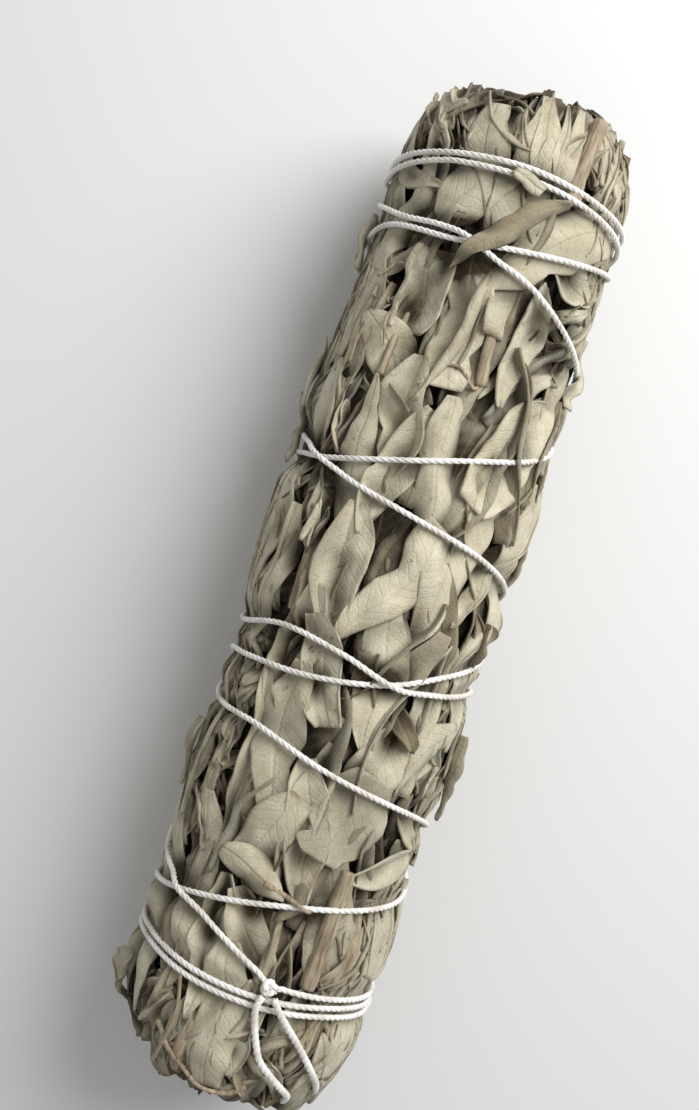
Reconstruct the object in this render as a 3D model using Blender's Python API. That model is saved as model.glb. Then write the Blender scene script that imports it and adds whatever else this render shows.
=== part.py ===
"""Sage bundle: dried white sage sprigs laid side by side and bound with cotton string.

The bundle lies along Y on the plane z = 0, leaf tips towards +Y and cut stems towards -Y.
Places on its round outside are written as (angle, y): the angle is in degrees from straight
up (+Z) towards +X, and y is in millimetres from the middle of the bundle.
"""
import math

import bmesh
import bpy
import numpy as np

MM = 0.001

# Driving dimensions, in millimetres.
BUNDLE_LENGTH = 224.0
AXIS_HEIGHT = 26.0
TOUCH_GAP = 0.3

STEM_RADIUS = 2.0
STEM_TAPER = 0.6
SPRIG_COUNT = 7
SPRIG_PITCH = 13.9
SPRIG_TURN = 17.0
PACK_OUTSIDE = 21.6
PACK_CORE = 6.8
PACK_BORE = 2.6
PACK_SHOULDER = 7.0
PACK_END_SHARE = 0.78

LEAF_THICKNESS = 0.5
LEAF_LAYER_PITCH = 0.85
LEAF_FIRST_RADIUS = 22.6
LEAF_LAYERS = 4
LEAF_BLUNT_END = 0.22
REST_LEAF_THICKNESS = 1.6

STRING_RADIUS = 0.6
STRING_WRAP_RADIUS = 26.3
STRING_SPACING = 1.75
STRING_HUMP_SLOPE = 0.35
TAIL_RADIUS = 0.75
KNOT_HALF_SIZE = (2.2, 1.6, 1.6)
KNOT_PLACE = (8.0, -79.6, 27.6)

# Each cut stem runs through one sprig: (cut end y, tip end y), centre sprig first.
STEM_ENDS = [(-104, 88), (-101, 80), (-108, 92), (-98, 84), (-103, 90), (-96, 78), (-106, 86)]
# Inner leaves of each sprig, crushed round its stem: (lower end y, upper end y).
PACK_ENDS = [(-90, 98), (-84, 101), (-92, 94), (-86, 99), (-88, 96), (-83, 100), (-91, 93)]

# Side shoots that show between the outer leaves: lower end and upper end, then radius.
SIDE_SHOOTS = [
    ((27, -77), (28, -56), 1.6),
    ((-42, -3), (-42, 11), 1.2),
    ((18, 49), (15, 62), 1.5),
    ((28, 92), (29, 109), 1.6),
]
SIDE_SHOOT_DEPTH = 23.6

# Outer leaves in the order they lie on each other: stalk end, tip end, width.
OUTER_LEAVES = [
    ((118, -97), (124, -50), 15),
    ((152, -52), (138, -2), 15),
    ((150, 46), (143, 98), 15),
    ((104, 60), (107, 110), 14),
    ((110, -8), (102, 46), 14),
    ((180, -103), (178, -52), 15),
    ((196, -48), (190, 3), 15),
    ((186, 8), (181, 60), 15),
    ((176, 63), (184, 110), 15),
    ((228, -98), (237, -46), 15),
    ((247, -43), (236, 8), 15),
    ((228, 12), (241, 65), 15),
    ((246, 66), (238, 111), 14),
    ((275, -99), (280, -50), 12),
    ((280, -16), (287, 34), 12),
    ((287, 60), (280, 106), 12),
    ((61, -99), (73, -57), 12),
    ((64, -8), (68, 34), 9),
    ((64, 86), (0, 70), 10),
    ((62, 49), (28, 25), 11),
    ((2, 80), (3, 112), 9),
    ((-30, 80), (3, 93), 9),
    ((-6, 69), (-3, 44), 7.5),
    ((37, 67), (36, 44), 6),
    ((-50, 55), (-21, 40), 8),
    ((2, 40), (9, 12), 8),
    ((36, 28), (23, 0), 8),
    ((9, -5), (14, -30), 8),
    ((-12, -8), (18, 18), 8),
    ((-31, -7), (-37, -27), 7),
    ((-25, -19), (-16, -49), 8),
    ((24, -36), (13, -53), 11),
    ((-49, -50), (-39, -85), 7),
    ((-18, -79), (-11, -112), 9),
]
# Underside leaves pressed flat by the weight of the bundle: centre y, length, width.
REST_LEAVES = [(-64.5, 11, 17), (-30, 9, 17), (27.5, 15, 17), (98, 12, 17)]

# The string from its knot up to the tip ring and back: angle, counted on turn by turn, and y.
WRAP_ROUTE = [
    [(14, -79.7), (25, -80.0), (43, -80.3), (80, -81.0), (130, -81.0), (200, -81.0), (265, -80.4)],
    [(300, -80.6), (330, -82.0), (368, -82.6), (400, -82.2), (440, -83.0), (500, -83.2), (560, -83.2)],
    [(620, -82.4), (660, -82.4), (690, -83.8), (728, -84.4), (760, -84.1), (800, -84.8), (825, -84.4)],
    [(850, -81.8), (880, -78.2), (930, -73.6)],
    [(986, -72.2), (1020, -70.2), (1050, -67.2), (1091, -62.9), (1123, -60.9), (1163, -58.6)],
    [(1230, -46.0), (1310, -27.5), (1350, -20.0), (1384, -19.2), (1424, -18.2), (1456, -15.2)],
    [(1483, -10.6), (1506, -7.4), (1575, 5.0), (1660, 19.0), (1710, 24.6), (1755, 25.0), (1793, 28.9)],
    [(1821, 33.0), (1855, 37.7), (1910, 47.0), (1990, 64.0), (2060, 72.6), (2099, 75.5), (2144, 74.2)],
    [(2181, 76.6), (2203, 78.6), (2230, 81.0), (2280, 84.8), (2340, 87.4), (2390, 88.8), (2430, 90.5)],
    [(2490, 91.5), (2520, 91.9), (2575, 91.0), (2650, 91.0), (2710, 91.2), (2760, 89.6), (2790, 88.6)],
    [(2853, 89.8), (2890, 89.8)],
    [(2935, 88.6), (2990, 86.5), (3060, 84.3), (3140, 83.5), (3165, 80.4), (3190, 77.4), (3224, 75.4)],
    [(3238, 72.9), (3256, 70.5), (3288, 64.3), (3350, 54.0), (3430, 39.5), (3502, 30.5), (3540, 26.4)],
    [(3570, 21.7), (3593, 19.3), (3643, 14.7), (3683, 10.1), (3750, 1.0), (3830, -9.5), (3885, -12.9)],
    [(3924, -10.4), (3953, -12.1), (3981, -15.3), (4003, -14.6), (4050, -12.8), (4140, -21.5)],
    [(4222, -28.4), (4253, -30.7), (4284, -31.4), (4322, -35.5), (4380, -40.8), (4440, -47.0)],
    [(4520, -55.0), (4582, -60.2), (4602, -64.6), (4635, -68.9), (4664, -74.0), (4683, -78.0)],
]

# Loose tails of the knot: angle, y, distance from the bundle's axis, from knot to cut end.
LEFT_TAIL = [
    (6, -81.5, 28.3), (5, -84.0, 28.2), (7, -87.5, 27.2), (10, -91.0, 26.9), (14, -94.4, 26.9),
    (21, -97.2, 26.7), (29, -99.8, 25.9), (37, -102.2, 24.2), (42, -104.6, 21.4),
]
RIGHT_TAIL = [
    (11, -81.3, 28.4), (15, -83.8, 28.3), (21, -86.6, 27.4), (28, -89.6, 27.1), (35, -92.8, 27.0),
    (42, -96.0, 26.9), (49, -98.8, 26.0), (56, -101.4, 24.4), (62, -103.6, 22.4),
]


def on_bundle(angle, y, radius):
    """Point in metres at an angle and a distance from the bundle's axis."""
    turn = math.radians(angle)
    return (
        radius * math.sin(turn) * MM,
        y * MM,
        (AXIS_HEIGHT + radius * math.cos(turn)) * MM,
    )


def plain_material(name, colour, roughness):
    material = bpy.data.materials.new(name)
    material.use_nodes = True
    shader = material.node_tree.nodes["Principled BSDF"]
    shader.inputs["Base Color"].default_value = (*colour, 1.0)
    shader.inputs["Roughness"].default_value = roughness
    shader.inputs["Metallic"].default_value = 0.0
    return material


def add_object(name, data, material):
    data.materials.append(material)
    part = bpy.data.objects.new(name, data)
    bpy.context.scene.collection.objects.link(part)
    return part


def add_mesh(name, bm, material):
    """Turn a finished bmesh into a smooth-shaded object."""
    mesh = bpy.data.meshes.new(name)
    bmesh.ops.recalc_face_normals(bm, faces=bm.faces)
    bm.to_mesh(mesh)
    bm.free()
    mesh.shade_smooth()
    mesh.set_sharp_from_angle(angle=math.radians(40))
    return add_object(name, mesh, material)


def add_rod(name, points, radii, material):
    """Round rod or string with filled ends along a row of points in metres."""
    curve = bpy.data.curves.new(name, "CURVE")
    curve.dimensions = "3D"
    curve.bevel_depth = MM
    curve.bevel_resolution = 2
    curve.use_fill_caps = True
    spline = curve.splines.new("POLY")
    spline.points.add(len(points) - 1)
    for spot, point, radius in zip(spline.points, points, radii):
        spot.co = (*point, 1.0)
        spot.radius = radius
    return add_object(name, curve, material)


def smooth_row(rows, step):
    """Even points, about step millimetres apart, on a smooth curve through the given rows."""
    rows = np.array(rows, dtype=float)
    ends = np.vstack([2 * rows[0] - rows[1], rows, 2 * rows[-1] - rows[-2]])
    fine = []
    for before, start, stop, after in zip(ends, ends[1:], ends[2:], ends[3:]):
        for share in np.linspace(0.0, 1.0, 24, endpoint=False):
            slope_in = (stop - before) / 2
            slope_out = (after - start) / 2
            square = share * share
            cube = square * share
            fine.append(
                (2 * cube - 3 * square + 1) * start + (cube - 2 * square + share) * slope_in
                + (3 * square - 2 * cube) * stop + (cube - square) * slope_out
            )
    fine.append(rows[-1])
    fine = np.array(fine)
    run = np.concatenate([[0.0], np.cumsum(np.linalg.norm(np.diff(fine, axis=0), axis=1))])
    even = np.linspace(0.0, run[-1], max(2, round(run[-1] / step)) + 1)
    return np.column_stack([np.interp(even, run, fine[:, axis]) for axis in range(3)])


def sprig_centres():
    """Middle of each sprig, across the bundle: one in the centre and six round it."""
    centres = [(0.0, 0.0)]
    for place in range(SPRIG_COUNT - 1):
        turn = math.radians(SPRIG_TURN + 360 * place / (SPRIG_COUNT - 1))
        centres.append((SPRIG_PITCH * math.sin(turn), SPRIG_PITCH * math.cos(turn)))
    return centres


def add_stem(name, centre, ends, material):
    """Woody stem, thick at its cut end and thin at its tip."""
    rows = np.linspace(ends[0], ends[1], 7)
    points = [(centre[0] * MM, y * MM, (AXIS_HEIGHT + centre[1]) * MM) for y in rows]
    radii = np.linspace(STEM_RADIUS, STEM_RADIUS * STEM_TAPER, len(rows))
    add_rod(name, points, radii, material)


def pack_outline(place):
    """Cross-section of one sprig's leaves: the round core, or one sixth of the ring round it."""
    if place == 0:
        turns = [math.tau * step / 12 for step in range(12)]
        return [(PACK_CORE * math.sin(turn), PACK_CORE * math.cos(turn)) for turn in turns]
    middle = math.radians(SPRIG_TURN + 360 * (place - 1) / (SPRIG_COUNT - 1))
    half = math.pi / (SPRIG_COUNT - 1)
    outside = [(PACK_OUTSIDE, share) for share in np.linspace(-1.0, 1.0, 7)]
    inside = [(PACK_CORE + TOUCH_GAP, share) for share in (1.0, 0.0, -1.0)]
    corners = []
    for radius, share in outside + [(SPRIG_PITCH, 1.0)] + inside + [(SPRIG_PITCH, -1.0)]:
        turn = middle + share * (half - TOUCH_GAP / radius)
        corners.append((radius * math.sin(turn), radius * math.cos(turn)))
    return corners


def add_pack(name, place, centre, ends, material):
    """Inner leaves of one sprig as one plain solid with a bore for the stem."""
    outline = np.array(pack_outline(place)) - centre
    bore = PACK_BORE * outline / np.linalg.norm(outline, axis=1)[:, None]
    stages = [
        (outline * PACK_END_SHARE, ends[0]),
        (outline, ends[0] + PACK_SHOULDER),
        (outline, ends[1] - PACK_SHOULDER),
        (outline * PACK_END_SHARE, ends[1]),
        (bore, ends[1]),
        (bore, ends[0]),
    ]
    bm = bmesh.new()
    loops = []
    for shape, y in stages:
        loops.append([
            bm.verts.new(((centre[0] + x) * MM, y * MM, (AXIS_HEIGHT + centre[1] + z) * MM))
            for x, z in shape
        ])
    for loop, following in zip(loops, loops[1:] + loops[:1]):
        for corner in range(len(loop)):
            bm.faces.new((loop[corner - 1], loop[corner], following[corner], following[corner - 1]))
    add_mesh(name, bm, material)


def add_side_shoot(name, lower, upper, radius, material):
    """Short stretch of side stem that shows on the outside."""
    rows = np.linspace(0.0, 1.0, 5)
    points = []
    for share in rows:
        angle = lower[0] + (upper[0] - lower[0]) * share
        y = lower[1] + (upper[1] - lower[1]) * share
        points.append(on_bundle(angle, y, SIDE_SHOOT_DEPTH))
    add_rod(name, points, np.linspace(radius, radius * 0.85, len(rows)), material)


class LayerMap:
    """How many leaf layers already lie on each patch of the bundle's outside."""

    CELL = 1.0
    MARGIN = 1.0

    def __init__(self):
        self.around = int(round(math.tau * LEAF_FIRST_RADIUS / self.CELL))
        self.along = int(BUNDLE_LENGTH / self.CELL) + 40
        self.layers = np.zeros((self.around, self.along), dtype=int)

    def cells(self, spots, margin):
        """Cells within the margin of the given (distance round, y) spots."""
        found = set()
        for across, y in spots:
            for shift_x in (-margin, 0.0, margin):
                for shift_y in (-margin, 0.0, margin):
                    column = int(math.floor((across + shift_x) / self.CELL)) % self.around
                    row = int(math.floor((y + shift_y) / self.CELL)) + self.along // 2
                    found.add((column, row))
        return found

    def lay(self, spots):
        """Layer that a new leaf over these spots takes, counted from 0."""
        found = self.cells(spots, self.MARGIN)
        layer = max(self.layers[cell] for cell in found)
        for cell in found:
            self.layers[cell] = layer + 1
        return layer

    def fill(self, spots):
        """Take every layer over these spots, for something as thick as all of them."""
        for cell in self.cells(spots, 0.0):
            self.layers[cell] = LEAF_LAYERS


def leaf_spots(base, tip, width, cells_along, cells_across):
    """Rows of (distance round, y) over a leaf's outline, from stalk to tip."""
    scale = math.radians(1.0) * LEAF_FIRST_RADIUS
    start = np.array([base[0] * scale, base[1]])
    run = np.array([(tip[0] - base[0]) * scale, tip[1] - base[1]])
    length = np.linalg.norm(run)
    side = np.array([-run[1], run[0]]) / length
    rows = []
    for along in np.linspace(0.0, 1.0, cells_along + 1):
        shape = LEAF_BLUNT_END + (1 - LEAF_BLUNT_END) * math.sin(math.pi * along ** 0.85)
        rows.append([
            start + run * along + side * (share * width * shape)
            for share in np.linspace(-0.5, 0.5, cells_across + 1)
        ])
    return rows


def add_outer_leaf(name, base, tip, width, layer_map, material):
    """Leaf blade pressed round the bundle, on top of the leaves that already lie there."""
    fine = leaf_spots(base, tip, width, 40, 12)
    layer = layer_map.lay([spot for row in fine for spot in row])
    radius = LEAF_FIRST_RADIUS + layer * LEAF_LAYER_PITCH
    length = math.dist(fine[0][6], fine[-1][6])
    cells_along = max(3, round(length / 6.0))
    cells_across = max(2, round(width / 5.0))
    rows = leaf_spots(base, tip, width, cells_along, cells_across)
    bm = bmesh.new()
    bmesh.ops.create_grid(bm, x_segments=cells_along, y_segments=cells_across, size=0.5)
    for vert in bm.verts:
        along = round((vert.co.x + 0.5) * cells_along)
        across = round((vert.co.y + 0.5) * cells_across)
        distance, y = rows[along][across]
        angle = math.degrees(distance / LEAF_FIRST_RADIUS)
        vert.co = on_bundle(angle, y, radius)
    bm.normal_update()
    bm.faces.ensure_lookup_table()
    centre = bm.faces[0].calc_center_median()
    if bm.faces[0].normal.dot((centre.x, 0.0, centre.z - AXIS_HEIGHT * MM)) < 0:
        bmesh.ops.reverse_faces(bm, faces=bm.faces)
    mesh = bpy.data.meshes.new(name)
    bm.to_mesh(mesh)
    bm.free()
    mesh.shade_smooth()
    leaf = add_object(name, mesh, material)
    solid = leaf.modifiers.new("thickness", "SOLIDIFY")
    solid.thickness = LEAF_THICKNESS * MM
    solid.offset = -1.0
    return layer


def add_rest_leaf(name, middle, length, width, material):
    """Leaf crushed flat on the surface that the bundle lies on."""
    bm = bmesh.new()
    outline = []
    for turn in range(12):
        angle = math.tau * turn / 12
        outline.append(bm.verts.new((
            0.5 * width * MM * math.sin(angle),
            (middle + 0.5 * length * math.cos(angle)) * MM,
            0.0,
        )))
    face = bm.faces.new(outline)
    lifted = bmesh.ops.extrude_face_region(bm, geom=[face])["geom"]
    corners = [item for item in lifted if isinstance(item, bmesh.types.BMVert)]
    bmesh.ops.translate(bm, verts=corners, vec=(0.0, 0.0, REST_LEAF_THICKNESS * MM))
    add_mesh(name, bm, material)


def wrap_lift(angle):
    """Distance of the string from the axis; underneath it is pressed flat by the surface."""
    down = -math.cos(math.radians(angle))
    flat = AXIS_HEIGHT - STRING_RADIUS - TOUCH_GAP
    if down * STRING_WRAP_RADIUS > flat:
        return flat / down
    return STRING_WRAP_RADIUS


def wrap_points():
    """The wound string as points in metres: a smooth line that humps over earlier turns."""
    route = np.array([row for turn in WRAP_ROUTE for row in turn], dtype=float)
    step = 2.0
    angles = np.arange(route[0, 0], route[-1, 0] + 0.1, step)
    slope = np.gradient(route[:, 1], route[:, 0])
    heights = []
    for angle in angles:
        place = min(np.searchsorted(route[:, 0], angle, side="right") - 1, len(route) - 2)
        gap = route[place + 1, 0] - route[place, 0]
        share = (angle - route[place, 0]) / gap
        square = share * share
        cube = square * share
        heights.append(
            (2 * cube - 3 * square + 1) * route[place, 1] + (cube - 2 * square + share) * gap * slope[place]
            + (3 * square - 2 * cube) * route[place + 1, 1] + (cube - square) * gap * slope[place + 1]
        )
    heights = np.array(heights)
    arc = math.radians(step) * STRING_WRAP_RADIUS
    turn = round(360 / step)
    lifts = [wrap_lift(angle) for angle in angles]
    for place in range(len(angles)):
        for earlier in range(place - turn, -3, -turn):
            for other in range(max(earlier - 2, 0), max(earlier + 3, 0)):
                apart = math.hypot(heights[place] - heights[other], (other - earlier) * arc)
                if apart < STRING_SPACING:
                    over = lifts[other] + math.sqrt(STRING_SPACING ** 2 - apart ** 2)
                    lifts[place] = max(lifts[place], over)
        if place:
            lifts[place] = max(lifts[place], lifts[place - 1] - STRING_HUMP_SLOPE * arc)
        for back in range(1, 8):
            if place >= back:
                ramp = lifts[place] - back * STRING_HUMP_SLOPE * arc
                lifts[place - back] = max(lifts[place - back], ramp)
    points = []
    for place, angle in enumerate(angles):
        around = lifts[max(place - 4, 0):place + 5]
        peak = lifts[place] == max(around) and lifts[place] > min(around) + 0.3
        if place % 9 == 0 or place == len(angles) - 1 or peak:
            points.append(on_bundle(angle, heights[place], lifts[place]))
    return points


def add_knot(material):
    """The knot as one lump that sits on the string's two ends."""
    angle, y, radius = KNOT_PLACE
    turn = math.radians(angle)
    bm = bmesh.new()
    bmesh.ops.create_uvsphere(bm, u_segments=10, v_segments=6, radius=1.0)
    bmesh.ops.scale(bm, verts=bm.verts, vec=[size * MM for size in KNOT_HALF_SIZE])
    for vert in bm.verts:
        x, z = vert.co.x, vert.co.z
        vert.co.x = x * math.cos(turn) + z * math.sin(turn)
        vert.co.z = z * math.cos(turn) - x * math.sin(turn)
    bmesh.ops.translate(bm, verts=bm.verts, vec=on_bundle(angle, y, radius))
    add_mesh("string_knot", bm, material)


def add_tail(name, rows, material):
    """Loose end of the string, from the knot over the leaves to its cut end."""
    route = [on_bundle(*row) for row in rows]
    points = smooth_row(np.array(route) / MM, 3.6) * MM
    add_rod(name, points, [TAIL_RADIUS] * len(points), material)


for old in list(bpy.data.objects):
    bpy.data.objects.remove(old, do_unlink=True)

stem_bark = plain_material("stem_bark", (0.28, 0.20, 0.12), 0.85)
inner_leaf = plain_material("inner_leaf", (0.16, 0.15, 0.10), 0.95)
outer_leaf = plain_material("outer_leaf", (0.34, 0.32, 0.24), 0.9)
cotton_string = plain_material("cotton_string", (0.80, 0.79, 0.76), 0.9)

for number, (centre, ends) in enumerate(zip(sprig_centres(), STEM_ENDS), start=1):
    add_stem(f"stem_{number}", centre, ends, stem_bark)
for place, (centre, ends) in enumerate(zip(sprig_centres(), PACK_ENDS)):
    add_pack(f"inner_leaves_{place + 1}", place, centre, ends, inner_leaf)

layers = LayerMap()
for number, (lower, upper, radius) in enumerate(SIDE_SHOOTS, start=1):
    add_side_shoot(f"side_shoot_{number}", lower, upper, radius, stem_bark)
    for row in leaf_spots(lower, upper, 2 * radius, 40, 8):
        layers.fill(row)
for number, (base, tip, width) in enumerate(OUTER_LEAVES, start=1):
    layer = add_outer_leaf(f"outer_leaf_{number:02d}", base, tip, width, layers, outer_leaf)
    if layer >= LEAF_LAYERS:
        raise ValueError(f"outer_leaf_{number:02d} lies above the last layer")
for number, (middle, length, width) in enumerate(REST_LEAVES, start=1):
    add_rest_leaf(f"rest_leaf_{number}", middle, length, width, outer_leaf)

wrap = wrap_points()
add_rod("string_wrap", wrap, [STRING_RADIUS] * len(wrap), cotton_string)
add_knot(cotton_string)
add_tail("string_tail_left", LEFT_TAIL, cotton_string)
add_tail("string_tail_right", RIGHT_TAIL, cotton_string)
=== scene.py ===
"""Looks of the sage bundle: dried white sage leaves, stems and cotton string round the CAD frame.

The bundle lies along Y on the floor, leaf tips towards +Y and cut stems towards -Y. Its round
outside is worked out unrolled, in millimetres: u is the distance round from the top at
MEAN_RADIUS, positive towards +X, v is y, and r is the distance from the bundle's axis.
"""

import math

import bmesh
import bpy
import numpy as np
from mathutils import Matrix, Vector, noise


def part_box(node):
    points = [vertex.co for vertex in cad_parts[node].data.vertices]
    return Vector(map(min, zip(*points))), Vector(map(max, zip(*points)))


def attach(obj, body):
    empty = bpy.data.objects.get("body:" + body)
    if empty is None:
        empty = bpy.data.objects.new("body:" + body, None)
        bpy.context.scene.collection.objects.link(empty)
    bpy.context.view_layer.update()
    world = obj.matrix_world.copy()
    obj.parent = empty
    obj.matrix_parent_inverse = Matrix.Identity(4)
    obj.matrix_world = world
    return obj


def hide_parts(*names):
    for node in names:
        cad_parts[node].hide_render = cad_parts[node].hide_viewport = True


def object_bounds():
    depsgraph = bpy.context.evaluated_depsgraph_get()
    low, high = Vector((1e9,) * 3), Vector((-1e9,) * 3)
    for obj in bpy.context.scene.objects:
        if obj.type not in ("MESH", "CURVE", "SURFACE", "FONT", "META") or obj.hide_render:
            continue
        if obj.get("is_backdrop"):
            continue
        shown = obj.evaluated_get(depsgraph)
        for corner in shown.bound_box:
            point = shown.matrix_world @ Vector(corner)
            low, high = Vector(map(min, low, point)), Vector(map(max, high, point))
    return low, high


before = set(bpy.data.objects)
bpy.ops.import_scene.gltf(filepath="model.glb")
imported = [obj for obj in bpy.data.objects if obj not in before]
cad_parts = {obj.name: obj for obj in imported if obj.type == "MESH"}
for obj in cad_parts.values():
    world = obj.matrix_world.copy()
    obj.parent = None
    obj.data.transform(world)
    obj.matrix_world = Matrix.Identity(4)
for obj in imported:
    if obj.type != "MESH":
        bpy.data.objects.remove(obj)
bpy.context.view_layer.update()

# The floor is a sheet of pale paper. One big soft lamp stands up on the right and a pale sky
# fills in; the camera looks straight down, turned so that the bundle leans to the right.
MM = 0.001
scene = bpy.context.scene
CAMERA_PLACE = (-0.0084, 0.0072, 0.312)
CAMERA_TURN = 18.47
CAMERA_LENS = 28.1
CAMERA_SENSOR = 24.0
NEAREST_SEEN = 0.01
PAPER_HALF_WIDTH = 3.0
PAPER_COLOUR = (0.778, 0.787, 0.79, 1.0)
LAMP_PLACE = (0.27, 0.36, 0.42)
LAMP_SIZE = 0.48
LAMP_WATTS = 4.0
LAMP_COLOUR = (1.0, 0.992, 0.98)
SKY_COLOUR = (1.0, 0.985, 0.97, 1.0)
SKY_STRENGTH = 0.41


def new_material(name, sockets):
    """A material with these values on its Principled shader, and that shader."""
    material = bpy.data.materials.new(name)
    material.use_nodes = True
    shader = material.node_tree.nodes["Principled BSDF"]
    for socket, value in sockets.items():
        shader.inputs[socket].default_value = value
    return material, shader


def add_object(name, data):
    thing = bpy.data.objects.new(name, data)
    scene.collection.objects.link(thing)
    return thing


camera_data = bpy.data.cameras.new("camera")
camera_data.sensor_fit = "VERTICAL"
camera_data.sensor_height = CAMERA_SENSOR
camera_data.sensor_width = CAMERA_SENSOR
camera_data.lens = CAMERA_LENS
camera_data.clip_start = NEAREST_SEEN
camera = add_object("camera", camera_data)
camera.location = CAMERA_PLACE
camera.rotation_euler = (0.0, 0.0, math.radians(CAMERA_TURN))
scene.camera = camera

bm = bmesh.new()
bmesh.ops.create_grid(bm, x_segments=2, y_segments=2, size=PAPER_HALF_WIDTH)
floor_mesh = bpy.data.meshes.new("paper_floor")
bm.to_mesh(floor_mesh)
bm.free()
paper, _ = new_material("pale_paper", {"Base Color": PAPER_COLOUR, "Roughness": 0.8})
floor_mesh.materials.append(paper)
add_object("paper_floor", floor_mesh)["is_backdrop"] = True

lamp_data = bpy.data.lights.new("side_lamp", "AREA")
lamp_data.shape = "DISK"
lamp_data.size = LAMP_SIZE
lamp_data.energy = LAMP_WATTS
lamp_data.color = LAMP_COLOUR
lamp = add_object("side_lamp", lamp_data)
lamp.location = LAMP_PLACE
lamp.visible_camera = False
lamp.rotation_euler = (-Vector(LAMP_PLACE)).to_track_quat("-Z", "Y").to_euler()
world = bpy.data.worlds.new("studio")
world.use_nodes = True
sky = world.node_tree.nodes["Background"]
sky.inputs["Color"].default_value = SKY_COLOUR
sky.inputs["Strength"].default_value = SKY_STRENGTH
scene.world = world
scene.view_settings.view_transform = "Standard"

# The thickness of the bundle, patch by patch. Leaves are pressed on one after another, each over
# what already lies there, and the string then pulls all of them in along its line.
MEAN_RADIUS = 24.0
AXIS_HEIGHT = 26.0
PATCH = 0.5
PATCHES_ROUND = round(math.tau * MEAN_RADIUS / PATCH)
PATCHES_ALONG = 520
CORE_RADIUS = 19.6
rng = np.random.default_rng(7)

round_at = (np.arange(PATCHES_ROUND) + 0.5) * PATCH
along_at = (np.arange(PATCHES_ALONG) - PATCHES_ALONG / 2 + 0.5) * PATCH
grid_turn, grid_y = np.meshgrid(round_at / MEAN_RADIUS, along_at, indexing="ij")


def core_radius(turn, y):
    """Lumpy radius of the crushed leaves under the ones that show."""
    lumps = 0.5 * np.sin(3 * turn + 0.08 * y) + 0.4 * np.sin(5 * turn - 0.13 * y + 1.0)
    lumps = lumps + 0.45 * np.sin(0.21 * y + 2 * turn)
    taper = np.clip((np.abs(y - 2.0) - 84.0) / 22.0, 0.0, 1.0)
    return (CORE_RADIUS + lumps) * (1.0 - 0.28 * taper ** 1.5)


surface = core_radius(grid_turn, grid_y)


def full_radius(turn, y):
    """Radius that the bundle fills out to: a belly in the middle, slimmer towards the tips, a
    shoulder on the left near the stalks, and rounded off at both ends."""
    belly = 1.3 * np.exp(-((y - 13.0) / 22.0) ** 2)
    slim = 1.3 / (1.0 + np.exp(-(y - 52.0) / 5.0))
    ends = 3.2 * np.clip((np.abs(y - 1.0) - 92.0) / 16.0, 0.0, 1.0) ** 1.5
    left = np.clip(-np.sin(turn), 0.0, 1.0)
    shoulder = 1.6 * left * np.exp(-((y + 78.0) / 13.0) ** 2)
    cut_end = (1.6 + 2.0 * left) * np.clip((-90.0 - y) / 16.0, 0.0, 1.0)
    return 25.4 + belly - slim - ends + shoulder - cut_end


def patch_of(u, v):
    column = np.floor(u / PATCH).astype(int) % PATCHES_ROUND
    row = np.clip(np.floor(v / PATCH).astype(int) + PATCHES_ALONG // 2, 0, PATCHES_ALONG - 1)
    return column, row


def widest(u, v):
    """Highest surface radius within half a millimetre of each place."""
    column, row = patch_of(u, v)
    high = surface[column, row]
    for step_u, step_v in ((1, 0), (-1, 0), (0, 1), (0, -1)):
        near_row = np.clip(row + step_v, 0, PATCHES_ALONG - 1)
        high = np.maximum(high, surface[(column + step_u) % PATCHES_ROUND, near_row])
    return high


def softened(sheet, passes):
    for _ in range(passes):
        long = np.vstack([sheet[:1], sheet, sheet[-1:]])
        sheet = 0.25 * long[:-2] + 0.5 * long[1:-1] + 0.25 * long[2:]
        wide = np.hstack([sheet[:, :1], sheet, sheet[:, -1:]])
        sheet = 0.25 * wide[:, :-2] + 0.5 * wide[:, 1:-1] + 0.25 * wide[:, 2:]
    return sheet


def press_into(u, v, r):
    """Raise the surface to a sheet that now lies on it."""
    for _ in range(2):
        u, v, r = (np.repeat(sheet, 2, axis=0)[:-1] for sheet in (u, v, r))
        for sheet in (u, v, r):
            sheet[1::2] = 0.5 * (sheet[1::2] + np.vstack([sheet[2::2]]))
        u, v, r = u.T.copy(), v.T.copy(), r.T.copy()
    column, row = patch_of(u, v)
    np.maximum.at(surface, (column.ravel(), row.ravel()), r.ravel())


# A sage leaf is a long soft blade, felted all over, that dries stiff and wavy. It is made flat,
# bent along its middle, folded or curled across, and then laid on the leaves under it.
LEAF_THICKNESS = 0.42
LEAF_SLACK = 0.35
# Each habit: cup across, fold at the midrib, roll of the left and right edge, lean to one side,
# then in millimetres the ripple of the edges, the crumple of the blade and its long pleats.
HABITS = {
    "flat": (-0.12, 0.0, 0.15, 0.25, 0.08, 0.12, 0.12, 0.04),
    "arched": (-0.65, 0.0, 0.0, 0.0, 0.12, 0.12, 0.14, 0.08),
    "cupped": (0.50, 0.10, 0.4, 0.4, 0.12, 0.25, 0.18, 0.10),
    "folded": (0.05, 0.80, 0.2, 0.1, 0.30, 0.22, 0.18, 0.10),
    "ridged": (-0.15, -0.60, 0.0, 0.0, 0.15, 0.20, 0.18, 0.12),
    "rolled": (0.30, 0.10, 0.6, 3.0, 0.10, 0.25, 0.20, 0.15),
    "standing": (0.20, 0.30, 0.3, 0.3, 1.15, 0.40, 0.30, 0.15),
    "pleated": (-0.20, 0.10, 0.3, 0.3, 0.20, 0.30, 0.20, 0.42),
    "crumpled": (0.25, 0.25, 1.2, 1.2, 0.25, 0.70, 0.75, 0.35),
}
LEAF_ROOM = 0.9
OVER_LEAF_ROOM = 4.0
LAST_Y, LAST_Y_ROOM = 109.0, 3.4
FIRST_Y, FIRST_Y_ROOM = -105.0, 3.0
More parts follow.
